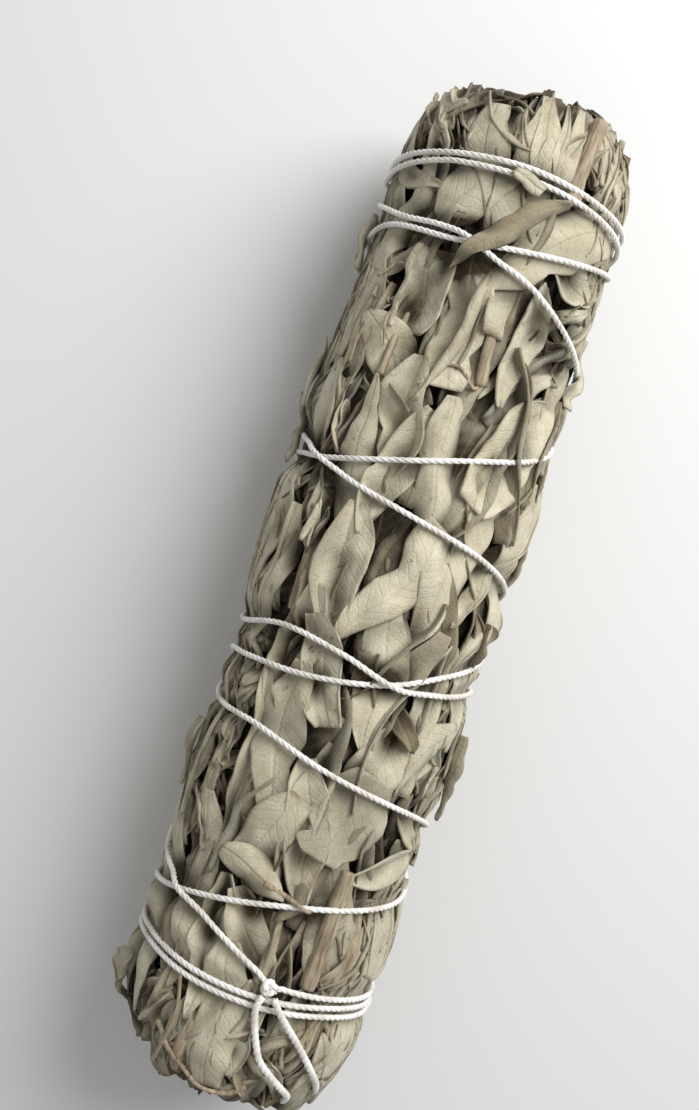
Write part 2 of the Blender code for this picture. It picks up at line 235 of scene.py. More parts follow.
leaves = []


def waves(along, across, shortest, longest, count, draw):
    """Smooth random hills, about one high, over a flat sheet in millimetres."""
    hills = np.zeros_like(along)
    for _ in range(count):
        heading = draw.uniform(0.0, math.pi)
        length = draw.uniform(shortest, longest)
        phase = draw.uniform(0.0, math.tau)
        way = along * math.cos(heading) + across * math.sin(heading)
        hills = hills + np.sin(way * math.tau / length + phase)
    return hills / math.sqrt(count)


def leaf_outline(along, share, across, width, ends, point, widest_at, torn, draw):
    """Half width at each place of a leaf's grid: ragged, and notched where an edge is torn."""
    before = np.clip((widest_at - share) / widest_at, 0.0, 1.0)
    after = np.clip((share - widest_at) / (1.0 - widest_at), 0.0, 1.0)
    outline = 1.0 - (1.0 - ends[0]) * before ** 2.0 - (1.0 - ends[1]) * after ** point
    ragged = waves(along, 40.0 * np.sign(across), 2.5, 14.0, 6, draw)
    half = 0.5 * width * outline * (1.0 + 0.07 * ragged * np.abs(across) ** 2)
    for way in (-1.0, 1.0):
        if draw.random() < torn:
            notch = draw.uniform(0.35, 0.95)
            reach = np.clip(1.0 - np.abs(share - notch) / draw.uniform(0.05, 0.16), 0.0, 1.0)
            half = half * (1.0 - draw.uniform(0.15, 0.45) * reach * (across * way > 0))
    return half


def leaf_slope(along, share, across, half, habit, draw):
    """How steeply the blade stands at each place, in radians, going across it."""
    cup, fold, roll_left, roll_right, tilt = HABITS[habit][:5]
    cup = cup * draw.uniform(0.6, 1.3)
    fold = fold * draw.uniform(0.7, 1.2)
    tilt = tilt * draw.choice((-1.0, 1.0)) * draw.uniform(0.7, 1.2)
    edge = np.clip((np.abs(across) - 0.45) / 0.55, 0.0, 1.0) ** 1.3
    slope = cup * across + fold * np.tanh(5.0 * across)
    slope = slope + edge * np.where(across > 0, roll_right, -roll_left)
    slope = slope + tilt * (0.6 + 0.6 * np.sin(share * draw.uniform(1.5, 3.5) + draw.uniform(0, 2)))
    return slope + 0.12 * waves(along, across * half, 9.0, 30.0, 4, draw)


def leaf_crinkles(lift, along, share, across, flat_across, length, width, habit, tip_lift, draw):
    """Add the rippled edges, the crumples, the long pleats and the raised tip to a blade."""
    ripple, crumple, pleat = HABITS[habit][5:]
    ripples = np.sin(along * math.tau / draw.uniform(5.0, 9.0) + np.sign(across) * 1.3)
    lift = lift + ripple * ripples * across ** 2 * min(1.0, width / 8.0)
    lift = lift + crumple * waves(along, flat_across, 3.5, 12.0, 7, draw) * 0.6
    drift = flat_across + 0.8 * waves(along, flat_across * 0.2, 10.0, 30.0, 3, draw)
    lift = lift + pleat * np.abs(np.sin(drift * math.pi / draw.uniform(1.6, 2.6))) ** 0.7
    lift = lift + tip_lift * np.clip((share - 0.65) / 0.35, 0.0, 1.0) ** 2 * length * 0.05
    lift = lift + 0.5 * np.sin(share * draw.uniform(3.0, 8.0) + draw.uniform(0, 6))
    return lift - np.percentile(lift, 12)


def summed_from_midrib(steps):
    total = np.cumsum(steps, axis=1)
    middle = steps.shape[1] // 2
    return total - total[:, middle:middle + 1]


def lay_leaf(owner, base, tip, width, habit, bend=0.0, cell=0.7, ends=(0.3, 0.06), point=1.8,
             widest_at=0.42, tone=1.0, warmth=0.0, brown=0.45, tip_lift=0.4, stiff=22, sink=0.0,
             torn=0.45, over=False):
    """Lay one leaf from its stalk end to its tip, both (degrees, y), and keep it for its piece."""
    draw = np.random.default_rng(len(leaves) + 1000)
    start = np.array([math.radians(base[0]) * MEAN_RADIUS, base[1]])
    run = np.array([math.radians(tip[0]) * MEAN_RADIUS, tip[1]]) - start
    length = float(np.hypot(*run))
    side = np.array([run[1] / length, -run[0] / length])
    cells_along = max(6, round(length / cell))
    cells_across = max(4, 2 * round(width / cell / 2))
    spine_share = np.linspace(0.0, 1.0, cells_along + 1)
    rib_share = np.linspace(-1.0, 1.0, cells_across + 1)
    share, across = np.meshgrid(spine_share, rib_share, indexing="ij")
    along = share * length

    half = leaf_outline(along, share, across, width, ends, point, widest_at, torn, draw)
    slope = leaf_slope(along, share, across, half, habit, draw)
    step = half * (rib_share[1] - rib_share[0])
    sideways = summed_from_midrib(np.cos(slope) * step)
    lift = summed_from_midrib(np.sin(slope) * step)
    flat_across = summed_from_midrib(step)
    sway = 0.02 * length * np.sin(spine_share * math.tau * 1.3 + draw.uniform(0, 6))
    sway = bend * np.sin(math.pi * spine_share) + sway
    spine = start + np.outer(spine_share, run) + np.outer(sway, side)
    u = spine[:, :1] + side[0] * sideways
    v = spine[:, 1:] + side[1] * sideways
    lift = leaf_crinkles(
        lift, along, share, across, flat_across, length, width, habit, tip_lift, draw
    )

    v = np.where(v > LAST_Y, LAST_Y + LAST_Y_ROOM * np.tanh((v - LAST_Y) / LAST_Y_ROOM), v)
    v = np.where(v < FIRST_Y, FIRST_Y - FIRST_Y_ROOM * np.tanh((FIRST_Y - v) / FIRST_Y_ROOM), v)
    under = widest(u, v)
    held = under.copy()
    for _ in range(stiff):
        held = np.maximum(softened(held, 1), under - LEAF_SLACK)
    held = softened(held, 2)
    r = held + 0.5 * LEAF_THICKNESS + 0.1 + lift - sink
    bound = full_radius(u / MEAN_RADIUS, v) + (OVER_LEAF_ROOM if over else LEAF_ROOM)
    r = np.where(r > bound, bound + 0.9 * np.tanh((r - bound) / 1.8), r)
    press_into(u, v, np.minimum(held + np.minimum(lift, 0.9) - sink, r) + LEAF_THICKNESS)
    leaves.append(dict(
        owner=owner, u=u, v=v, r=r, along=along, across=flat_across, share=share,
        edge=np.abs(across), half=half, tone=tone, warmth=warmth, brown=brown,
        seed=int(draw.integers(1 << 30)),
    ))


# Hundreds of crushed leaves fill each sprig out. They show between the outer leaves, all round
# the sides and underneath, mostly as narrow strips and edges.
FILLERS = 560
FILLER_LENGTHS = (24.0, 46.0)
FILLER_WIDTHS = (6.0, 12.5)
PLACES_TRIED = 14
FRONT_HALF_ANGLE = 72.0
FRONT_ALLOWANCE = 1.7
habit_names = list(HABITS)
filler_odds = np.array([0.08, 0.08, 0.10, 0.15, 0.10, 0.07, 0.12, 0.20, 0.10])

for number in range(FILLERS):
    best = None
    for _ in range(PLACES_TRIED):
        turn = rng.uniform(-math.pi, math.pi)
        y = rng.uniform(-103.0, 104.0)
        column, row = patch_of(np.array([turn * MEAN_RADIUS]), np.array([y]))
        rows = np.clip(np.arange(row[0] - 16, row[0] + 17), 0, PATCHES_ALONG - 1)
        columns = np.arange(column[0] - 5, column[0] + 6) % PATCHES_ROUND
        level = surface[np.ix_(columns, rows)].mean()
        wanted = full_radius(turn, y)
        if abs(math.degrees(turn)) < FRONT_HALF_ANGLE:
            wanted = wanted - FRONT_ALLOWANCE
        if best is None or wanted - level > best[0]:
            best = (wanted - level, turn, y)
    missing, turn, y = best
    if missing < 0.3:
        continue
    length = rng.uniform(*FILLER_LENGTHS)
    width = rng.uniform(*FILLER_WIDTHS)
    lean = math.radians(rng.normal(0.0, 15.0))
    way = 1.0 if rng.random() < 0.62 or y > 60 else -1.0
    if y < -80:
        way = -1.0 if rng.random() < 0.6 else 1.0
    reach = np.array([math.sin(lean), math.cos(lean)]) * 0.5 * length * way
    middle_y = min(max(y, -106.0 + 0.5 * length), 109.0 - 0.5 * length)
    turn_reach = math.degrees(reach[0] / MEAN_RADIUS)
    sector = int(math.degrees(turn) // 60) % 6 + 2
    zone = "stalk_end" if y < -38 else "middle" if y < 34 else "tip_end"
    lay_leaf(
        f"sprig_leaves_{sector}_{zone}",
        (math.degrees(turn) - turn_reach, middle_y - reach[1]),
        (math.degrees(turn) + turn_reach, middle_y + reach[1]),
        width, habit_names[rng.choice(len(habit_names), p=filler_odds)],
        bend=rng.normal(0.0, 2.0), cell=1.5 if missing > 2.2 else 1.05,
        ends=(rng.uniform(0.15, 0.6), rng.uniform(0.06, 0.6)), point=rng.uniform(1.5, 3.5),
        # Filler tones are random per leaf and run lower than the outer leaves', partly as painted
        # shade for the gaps where they show.
        tone=rng.uniform(0.50, 1.0), warmth=rng.uniform(-0.3, 0.8), brown=rng.uniform(0.1, 0.9),
        tip_lift=rng.uniform(0.0, 0.8), stiff=14,
    )

# Small leaves and broken bits, dried into curls, crowd both flanks and both ends. Each row is a
# field of them: first and last angle, first and last y, and how many there are.
CURLED_BITS = [
    (-100, -46, -60, 70, 210), (34, 92, -104, -58, 60), (52, 96, -50, 4, 40), (48, 92, 44, 100, 34),
    (-75, 75, 97, 106, 60), (-75, 80, -106, -92, 50), (100, 260, 98, 105, 40),
    (100, 260, -105, -94, 40),
]
CURLED_HABITS = ("crumpled", "standing", "rolled", "folded", "pleated")
CURLED_WIDTHS = (2.8, 6.0)
for first, last, lowest, highest, count in CURLED_BITS:
    for _ in range(count):
        turn = rng.uniform(first, last)
        y = rng.uniform(lowest, highest)
        length = rng.uniform(7.0, 16.0 if abs(y) > 90 else 19.0) * rng.choice((-1.0, 1.0))
        swing = rng.normal(0.0, 10.0)
        side = "tip_end" if y > 96 else "stalk_end" if y < -91 else "left" if turn < 0 else "right"
        lay_leaf(
            f"curled_bits_{side}",
            (turn - swing, y - 0.5 * length), (turn + swing, y + 0.5 * length),
            rng.uniform(*CURLED_WIDTHS), rng.choice(CURLED_HABITS),
            bend=rng.normal(0.0, 1.6), cell=0.75,
            ends=(rng.uniform(0.1, 0.6), rng.uniform(0.05, 0.5)),
            tone=rng.uniform(0.72, 1.06), warmth=rng.uniform(-0.3, 0.6),
            brown=rng.uniform(0.2, 1.0), tip_lift=rng.uniform(0.0, 1.0), stiff=5,
            sink=rng.uniform(0.2, 0.9),
        )

# The outer leaves lie over the fillers. Each follows its own CAD leaf: the ends come from the
# frame, and the table says how the real one is bent, folded and coloured.


def leaf_ends(node):
    """The two ends of a CAD leaf as (degrees, y), the lower one first, and its width."""
    places = np.array([vertex.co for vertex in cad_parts[node].data.vertices]) / MM
    turns = np.arctan2(places[:, 0], places[:, 2] - AXIS_HEIGHT)
    mean = math.atan2(np.sin(turns).mean(), np.cos(turns).mean())
    turns = (turns - mean + math.pi) % math.tau - math.pi
    flat = np.column_stack([turns * MEAN_RADIUS, places[:, 1]])
    centre = flat.mean(axis=0)
    values, ways = np.linalg.eigh(np.cov((flat - centre).T))
    long_way = ways[:, 1] if ways[1, 1] > 0 else -ways[:, 1]
    reach = (flat - centre) @ long_way
    width = np.ptp((flat - centre) @ ways[:, 0])
    ends = [centre + long_way * reach.min(), centre + long_way * reach.max()]
    return [(math.degrees(end[0] / MEAN_RADIUS + mean), end[1]) for end in ends], width


# Number of the CAD leaf: whether its tip is the lower end, habit, bend, tone, warmth, brown and
# how pointed the tip is.
OUTER_LEAVES = {
    1: (False, "arched", 3.0, 0.95, 0.1, 0.3, 1.8),
    2: (False, "cupped", -3.0, 0.90, 0.0, 0.2, 2.4),
    3: (False, "folded", 2.0, 0.98, 0.1, 0.3, 1.6),
    4: (False, "flat", -2.0, 0.92, 0.2, 0.4, 2.0),
    5: (False, "crumpled", 3.0, 0.95, 0.0, 0.2, 2.2),
    6: (False, "flat", 2.0, 0.90, 0.1, 0.3, 1.8),
    7: (False, "flat", -3.0, 0.86, 0.2, 0.3, 2.0),
    8: (False, "arched", 2.0, 0.90, 0.0, 0.2, 2.0),
    9: (False, "flat", -2.0, 0.93, 0.1, 0.4, 2.4),
    10: (False, "cupped", 3.0, 0.98, 0.0, 0.2, 1.8),
    11: (True, "arched", -3.0, 0.95, 0.1, 0.3, 2.0),
    12: (False, "folded", 2.0, 0.92, 0.0, 0.2, 2.2),
    13: (False, "crumpled", -2.0, 0.96, 0.2, 0.4, 1.8),
    14: (False, "arched", 2.0, 0.95, 0.0, 0.2, 1.8),
    15: (False, "folded", -2.0, 0.92, 0.1, 0.3, 2.0),
    16: (False, "cupped", 2.0, 0.95, 0.0, 0.2, 1.8),
    17: (False, "arched", -2.0, 1.0, 0.1, 0.3, 1.8),
    18: (False, "flat", 1.5, 1.0, 0.0, 0.2, 2.4),
}
for number, (down, habit, bend, tone, warmth, brown, point) in OUTER_LEAVES.items():
    node = f"outer_leaf_{number:02d}"
    (low, high), width = leaf_ends(node)
    base, tip = (high, low) if down else (low, high)
    lay_leaf(
        node, base, tip, width, habit, bend=bend, tone=tone, warmth=warmth, brown=brown,
        point=point, cell=0.9,
    )

# The leaves on the upper side, from the lowest ones to the ones on top. A name of the form
# outer_leaf_NN is the CAD leaf that it stands for; the others are smaller leaves between them.
# Each row: name, stalk end and tip (degrees, y), width that shows, habit, tone, and the rest.
UPPER_LEAVES = [
    # Tip end, above the tip ring.
    ("tip_leaf_left", (-40, 84), (-55, 100), 7, "folded", 1.0, dict(tip_lift=1.0)),
    ("tip_leaf_spotted", (-20, 80), (-22, 104), 9, "arched", 1.0,
     dict(brown=0.9, ends=(0.5, 0.5), point=3)),
    ("tip_leaf_edge", (46, 82), (49, 106), 5.5, "standing", 0.95, {}),
    ("tip_leaf_ribbed", (20, 80), (22, 108), 5.0, "ridged", 1.02, dict(ends=(0.5, 0.3))),
    ("tip_leaf_thin", (14, 80), (13, 108), 4.0, "folded", 0.95, {}),
    ("outer_leaf_21", (1, 78), (4, 108), 9.5, "arched", 1.06,
     dict(bend=1.5, tip_lift=0.5, point=2.2)),
    ("tip_leaf_small", (0, 108), (9, 88), 6, "folded", 1.03, dict(ends=(0.2, 0.05))),
    # Between the tip ring and the crossing strings.
    ("neck_leaf_left", (-60, 66), (-42, 92), 7, "arched", 0.95, {}),
    ("neck_leaf_far_left", (-88, 92), (-34, 84), 5, "folded", 0.92, {}),
    ("outer_leaf_22", (-33, 78), (4, 92), 10, "flat", 1.08, dict(bend=-2.0, point=1.6)),
    ("neck_leaf_right", (26, 82), (66, 73), 8, "cupped", 0.95, dict(bend=2.0)),
    ("neck_leaf_round", (18, 84), (14, 58), 9, "flat", 1.0,
     dict(brown=0.9, ends=(0.6, 0.5), point=3.5)),
    ("outer_leaf_19", (68, 90), (-4, 67), 11.5, "arched", 1.1,
     dict(bend=2.5, ends=(0.5, 0.3), tip_lift=0.2)),
    # Below the crossing strings.
    ("shoulder_leaf_left", (-66, 72), (-62, 46), 7, "standing", 0.92, {}),
    ("shoulder_leaf_wavy", (-58, 70), (-54, 47), 6.5, "crumpled", 1.0, {}),
    ("shoulder_leaf_narrow", (64, 72), (16, 45), 5.5, "ridged", 1.02, dict(bend=2.0)),
    ("outer_leaf_24", (32, 72), (24, 45), 7, "cupped", 1.0, dict(point=1.8)),
    ("outer_leaf_23", (-8, 73), (-1, 45), 8.2, "flat", 1.08,
     dict(ends=(0.7, 0.6), point=4, widest_at=0.5)),
    ("shoulder_leaf_rolled", (-29, 72), (-30, 54), 11, "rolled", 1.05,
     dict(ends=(0.8, 0.7), point=4)),
    ("outer_leaf_25", (-52, 57), (-20, 38), 8.5, "arched", 1.1, dict(bend=-2.0, tip_lift=0.8)),
    # Above and between the upper pair of strings.
    ("waist_leaf_left", (-56, 46), (-60, 18), 7.5, "folded", 0.98, {}),
    ("waist_leaf_round", (-17, 50), (-14, 24), 10, "folded", 1.02, dict(point=2.4)),
    ("waist_leaf_slim", (-2, 40), (-18, 12), 8, "cupped", 0.98, dict(bend=1.5)),
    ("outer_leaf_26", (2, 44), (9, 10), 8.5, "ridged", 1.06, dict(bend=-1.0, point=1.6)),
    ("waist_leaf_lance", (-22, 8), (-34, 44), 7, "arched", 1.08,
     dict(bend=-1.5, tip_lift=0.9, point=1.4)),
    ("waist_leaf_right", (88, 34), (34, 0), 6.5, "standing", 0.95, {}),
    ("waist_leaf_edge", (68, 30), (62, -4), 8.5, "arched", 1.03, {}),
    ("outer_leaf_27", (40, 30), (20, -6), 9, "flat", 1.04, dict(bend=1.0)),
    ("outer_leaf_20", (60, 50), (28, 24), 12, "cupped", 1.1,
     dict(bend=2.0, ends=(0.2, 0.5), point=3)),
    # Middle, between the upper pair and the lower pair of strings.
    ("middle_leaf_a", (-52, 14), (-60, -18), 7, "standing", 0.95, {}),
    ("middle_leaf_b", (-66, 22), (-74, -14), 7, "folded", 0.95, {}),
    ("middle_leaf_c", (60, 2), (66, -26), 8, "cupped", 1.0, {}),
    ("middle_leaf_d", (44, -4), (40, -30), 7, "folded", 1.0, {}),
    ("middle_leaf_small", (0, 4), (29, -16), 6.5, "arched", 1.05, dict(bend=1.0)),
    ("outer_leaf_28", (8, 0), (15, -30), 8.5, "flat", 1.06, dict(point=1.6)),
    ("middle_leaf_fold", (-24, 18), (-18, -12), 9.5, "folded", 1.0, dict(brown=0.4)),
    ("outer_leaf_30", (-27, 0), (-38, -28), 8, "cupped", 1.0, {}),
    ("outer_leaf_29", (-14, -10), (19, 18), 8.5, "arched", 1.12,
     dict(bend=1.6, tip_lift=0.2, ends=(0.12, 0.6), widest_at=0.7, point=3)),
    # Between the lower pair of strings and the lower ring.
    ("hip_leaf_left", (-68, -18), (-66, -56), 6, "standing", 0.95, {}),
    ("hip_leaf_ragged", (-24, -6), (-4, -27), 8, "crumpled", 1.0, dict(ends=(0.5, 0.6), point=4)),
    ("hip_leaf_slim", (-39, -20), (-33, -60), 5.5, "folded", 1.0, dict(brown=0.8)),
    ("hip_leaf_long", (2, -30), (-4, -62), 8, "folded", 1.0, {}),
    ("hip_leaf_grey", (66, -20), (22, -37), 8.5, "arched", 0.96, dict(point=1.5)),
    ("outer_leaf_31", (-26, -16), (-16, -52), 9, "flat", 1.06, dict(bend=1.0, point=1.5)),
    ("hip_leaf_veined", (-6, -34), (12, -64), 8.5, "cupped", 1.04, {}),
    ("hip_leaf_low_right", (64, -48), (28, -56), 8, "folded", 0.96, {}),
    ("hip_leaf_right", (30, -24), (17, -42), 9, "flat", 1.04, dict(brown=0.5)),
    ("outer_leaf_32", (26, -34), (12, -53), 12.5, "flat", 0.78,
     dict(warmth=0.1, brown=0.1, ends=(0.55, 0.5), point=4, widest_at=0.5, tip_lift=0.0)),
    ("hip_leaf_torn", (-4, -42), (-26, -60), 7.5, "flat", 1.05, dict(brown=1.0, ends=(0.5, 0.4))),
    ("hip_leaf_cross", (-32, -57), (2, -63), 7.5, "ridged", 1.02, dict(bend=-1.0)),
    # Stalk end, round the knot.
    ("foot_leaf_left", (-70, -56), (-60, -98), 8, "arched", 0.98, {}),
    ("foot_leaf_long", (-29, -62), (-23, -92), 8, "folded", 1.02, {}),
    ("outer_leaf_33", (-51, -48), (-38, -88), 8, "arched", 1.06, dict(bend=-1.0)),
    ("foot_leaf_middle", (-22, -64), (10, -82), 7, "cupped", 1.05, {}),
    ("foot_leaf_right", (86, -56), (72, -80), 6, "standing", 0.95, {}),
    ("foot_leaf_small", (54, -62), (64, -82), 5, "folded", 0.98, {}),
    ("foot_leaf_end", (4, -80), (0, -100), 7.5, "crumpled", 1.0, dict(ends=(0.6, 0.5), point=3)),
    ("outer_leaf_34", (-14, -74), (-6, -104), 8.5, "arched", 1.04, dict(ends=(0.4, 0.6), point=3)),
]
# The table gives the width that shows; each blade goes on a little under its neighbours.
HIDDEN_WIDTH = 1.28
FINE_CELL = 0.62
for name, base, tip, width, habit, tone, facts in UPPER_LEAVES:
    width = width * HIDDEN_WIDTH
    lay_leaf(name, base, tip, width, habit, cell=FINE_CELL, tone=tone, **facts)

# Cotton string, three strands twisted together, wound from its knot up to the tip ring and back.
# It is pulled tight, so it cuts into the leaves, and it humps over its own earlier turns.
STRING_RADIUS = 0.62
STRING_WRAP_RADIUS = 26.3
STRING_SPACING = 1.75
STRING_HUMP_SLOPE = 0.35
STRING_BITE = 2.6
# The route of the string: degrees round the bundle from its top, counted on from turn to turn,
# and y.
WRAP_ROUTE = [
    (14, -79.7), (25, -80.0), (43, -80.3), (80, -81.0), (130, -81.0), (200, -81.0), (265, -80.4),
    (300, -80.6), (330, -82.0), (368, -82.6), (400, -82.2), (440, -83.0), (500, -83.2),
    (560, -83.2), (620, -82.4), (660, -82.4), (690, -83.8), (728, -84.4), (760, -84.1),
    (800, -84.8), (825, -84.4), (850, -81.8), (880, -78.2), (930, -73.6), (986, -72.2),
    (1020, -70.2), (1050, -67.2), (1091, -62.9), (1123, -60.9), (1163, -58.6), (1230, -46.0),
    (1310, -27.5), (1350, -20.0), (1384, -19.2), (1424, -18.2), (1456, -15.2), (1483, -10.6),
    (1506, -7.4), (1575, 5.0), (1660, 19.0), (1710, 24.6), (1755, 25.0), (1793, 28.9), (1821, 33.0),
    (1855, 37.7), (1910, 47.0), (1990, 64.0), (2060, 72.6), (2099, 75.5), (2144, 74.2),
    (2181, 76.6), (2203, 78.6), (2230, 81.0), (2280, 84.8), (2340, 87.4), (2390, 88.8),
    (2430, 90.5), (2490, 91.5), (2520, 91.9), (2575, 91.0), (2650, 91.0), (2710, 91.2),
    (2760, 89.6), (2790, 88.6), (2853, 89.8), (2890, 89.8), (2935, 88.6), (2990, 86.5),
    (3060, 84.3), (3140, 83.5), (3165, 80.4), (3190, 77.4), (3224, 75.4), (3238, 72.9),
    (3256, 70.5), (3288, 64.3), (3350, 54.0), (3430, 39.5), (3502, 30.5), (3540, 26.4),
    (3570, 21.7), (3593, 19.3), (3643, 14.7), (3683, 10.1), (3750, 1.0), (3830, -9.5),
    (3885, -12.9), (3924, -10.4), (3953, -12.1), (3981, -15.3), (4003, -14.6), (4050, -12.8),
    (4140, -21.5), (4222, -28.4), (4253, -30.7), (4284, -31.4), (4322, -35.5), (4380, -40.8),
    (4440, -47.0), (4520, -55.0), (4582, -60.2), (4602, -64.6), (4635, -68.9), (4664, -74.0),
    (4683, -78.0),
]
wrap_rows = np.array(WRAP_ROUTE, dtype=float)
WRAP_STEP = 1.0


def smooth_between(share, start, stop, reach, start_slope, stop_slope):
    """Place on a smooth line from start to stop, which lie a reach apart, from its slopes."""
    square, cube = share ** 2, share ** 3
    return (
        (2 * cube - 3 * square + 1) * start + (cube - 2 * square + share) * reach * start_slope
        + (3 * square - 2 * cube) * stop + (cube - square) * reach * stop_slope
    )


wrap_angles = np.arange(wrap_rows[0, 0], wrap_rows[-1, 0] + 0.1, WRAP_STEP)
wrap_slopes = np.gradient(wrap_rows[:, 1], wrap_rows[:, 0])
wrap_part = np.searchsorted(wrap_rows[:, 0], wrap_angles, side="right") - 1
wrap_part = np.clip(wrap_part, 0, len(wrap_rows) - 2)
part_length = wrap_rows[wrap_part + 1, 0] - wrap_rows[wrap_part, 0]
wrap_y = smooth_between(
    (wrap_angles - wrap_rows[wrap_part, 0]) / part_length,
    wrap_rows[wrap_part, 1], wrap_rows[wrap_part + 1, 1],
    part_length, wrap_slopes[wrap_part], wrap_slopes[wrap_part + 1],
)
down = -np.cos(np.radians(wrap_angles))
flat_reach = AXIS_HEIGHT - STRING_RADIUS - 0.3
wrap_lift = np.where(
    down * STRING_WRAP_RADIUS > flat_reach, flat_reach / np.maximum(down, 0.1), STRING_WRAP_RADIUS
)
arc = math.radians(WRAP_STEP) * STRING_WRAP_RADIUS
one_turn = round(360 / WRAP_STEP)
slope_step = STRING_HUMP_SLOPE * arc
for place in range(len(wrap_angles)):
    for earlier in range(place - one_turn, -5, -one_turn):
        near = np.arange(max(earlier - 4, 0), max(earlier + 5, 0))
        if len(near):
            apart = np.hypot(wrap_y[place] - wrap_y[near], (near - earlier) * arc)
            close = apart < STRING_SPACING
            if close.any():
                over = wrap_lift[near[close]] + np.sqrt(STRING_SPACING ** 2 - apart[close] ** 2)
                wrap_lift[place] = max(wrap_lift[place], over.max())
    if place:
        wrap_lift[place] = max(wrap_lift[place], wrap_lift[place - 1] - slope_step)
    ramp = wrap_lift[place] - slope_step * np.arange(min(place, 15), 0, -1)
    wrap_lift[place - len(ramp):place] = np.maximum(wrap_lift[place - len(ramp):place], ramp)
wrap_lift = np.convolve(np.pad(wrap_lift, 2, mode="edge"), np.ones(5) / 5, mode="valid")

# The bite of the string: how far the leaves are pulled in, patch by patch.
bite = np.zeros_like(surface)
wrap_u = np.radians(wrap_angles) * MEAN_RADIUS
reach_cells = round(3.0 * STRING_BITE / PATCH)
window = np.arange(-reach_cells, reach_cells + 1)
fall_u, fall_v = np.meshgrid(window * PATCH, window * PATCH, indexing="ij")
fall_off = np.exp(-(fall_u ** 2 + fall_v ** 2) / (2 * STRING_BITE ** 2))
column, row = patch_of(wrap_u, wrap_y)
crowd = np.array([
    surface[np.ix_(np.arange(c - 2, c + 3) % PATCHES_ROUND, np.arange(w - 2, w + 3))].max()
    for c, w in zip(column, row)
])
press = np.maximum(crowd - (np.minimum(wrap_lift, STRING_WRAP_RADIUS) - STRING_RADIUS + 0.15), 0.0)
press = np.convolve(np.pad(press, 6, mode="edge"), np.ones(13) / 13, mode="valid") + 0.25
for c, w, depth in zip(column, row, press):
    block = np.ix_((c + window) % PATCHES_ROUND, np.clip(w + window, 0, PATCHES_ALONG - 1))
    bite[block] = np.maximum(bite[block], depth * fall_off)
for leaf in leaves:
    leaf["r"] = leaf["r"] - softened(bite[patch_of(leaf["u"], leaf["v"])], 1)
surface -= bite


def on_bundle(angle, y, radius):
    turn = math.radians(angle)
    return Vector((radius * math.sin(turn), y, AXIS_HEIGHT + radius * math.cos(turn))) * MM


def even_row(points, step):
    """Points a step apart, in metres, on a smooth line through the given ones."""
    points = np.array(points, dtype=float)
    padded = np.vstack([2 * points[0] - points[1], points, 2 * points[-1] - points[-2]])
    fine = []
    for before, start, stop, after in zip(padded, padded[1:], padded[2:], padded[3:]):
        for share in np.linspace(0.0, 1.0, 24, endpoint=False):
            fine.append(smooth_between(share, start, stop, 0.5, stop - before, after - start))
    fine = np.array(fine + [points[-1]])
    run = np.concatenate([[0.0], np.cumsum(np.linalg.norm(np.diff(fine, axis=0), axis=1))])
    even = np.linspace(0.0, run[-1], max(2, round(run[-1] / step)) + 1)
    return np.column_stack([np.interp(even, run, fine[:, axis]) for axis in range(3)])


def rod_mesh(name, rods, sides):
    """Mesh of round rods, each a row of points and a row of radii in metres, ends filled."""
    curve = bpy.data.curves.new(name, "CURVE")
    curve.dimensions = "3D"
    curve.bevel_depth = 1.0
    curve.bevel_resolution = sides // 2 - 2
    curve.use_fill_caps = True
    for points, radii in rods:
        spline = curve.splines.new("POLY")
        spline.points.add(len(points) - 1)
        for spot, point, radius in zip(spline.points, points, radii):
            spot.co = (*point, 1.0)
            spot.radius = radius
    shape = add_object(name + "_line", curve)
    drawn = shape.evaluated_get(bpy.context.evaluated_depsgraph_get())
    mesh = bpy.data.meshes.new_from_object(drawn)
    bpy.data.objects.remove(shape)
    bpy.data.curves.remove(curve)
    bm = bmesh.new()
    bm.from_mesh(mesh)
    bmesh.ops.remove_doubles(bm, verts=bm.verts, dist=1e-7)
    bmesh.ops.recalc_face_normals(bm, faces=bm.faces)
    bm.to_mesh(mesh)
    bm.free()
    mesh.name = name
    mesh.shade_smooth()
    return mesh


STRAND_RADIUS = 0.60
STRAND_OFFSET = 0.42
FRAYED_LENGTH = 0.002


def twisted(points, radius, pitch, fray=0.0):
    """Three strands round a row of points: a plied string. Its far end may open out."""
    points = np.array(points)
    ways = np.gradient(points, axis=0)
    ways = ways / np.linalg.norm(ways, axis=1)[:, None]
    run = np.concatenate([[0.0], np.cumsum(np.linalg.norm(np.diff(points, axis=0), axis=1))])
    outward = points - np.array([0.0, 0.0, AXIS_HEIGHT * MM])
    outward[:, 1] = 0.0
    outward = outward - ways * np.sum(outward * ways, axis=1)[:, None]
    outward = outward / np.linalg.norm(outward, axis=1)[:, None]
    beside = np.cross(ways, outward)
    opening = 1.0 + fray * np.clip((run - run[-1] + FRAYED_LENGTH) / FRAYED_LENGTH, 0.0, 1.0) ** 2
    opening = STRAND_OFFSET * radius * opening[:, None]
    rods = []
    for strand in range(3):
        turn = (run / pitch * math.tau + strand * math.tau / 3)[:, None]
        offset = opening * (np.cos(turn) * outward + np.sin(turn) * beside)
        rods.append((points + offset, np.full(len(points), STRAND_RADIUS * radius)))
    return rods


def add_node(tree, kind, sockets=(), **settings):
    """Add a shader node. The sockets are pairs of an input and the value or output for it."""
    node = tree.nodes.new(kind)
    for name, value in settings.items():
        setattr(node, name, value)
    for name, value in sockets:
        if isinstance(value, bpy.types.NodeSocket):
            tree.links.new(value, node.inputs[name])
        else:
            node.inputs[name].default_value = value
    return node


def object_place(tree):
    return tree.nodes.new("ShaderNodeTexCoord").outputs["Object"]


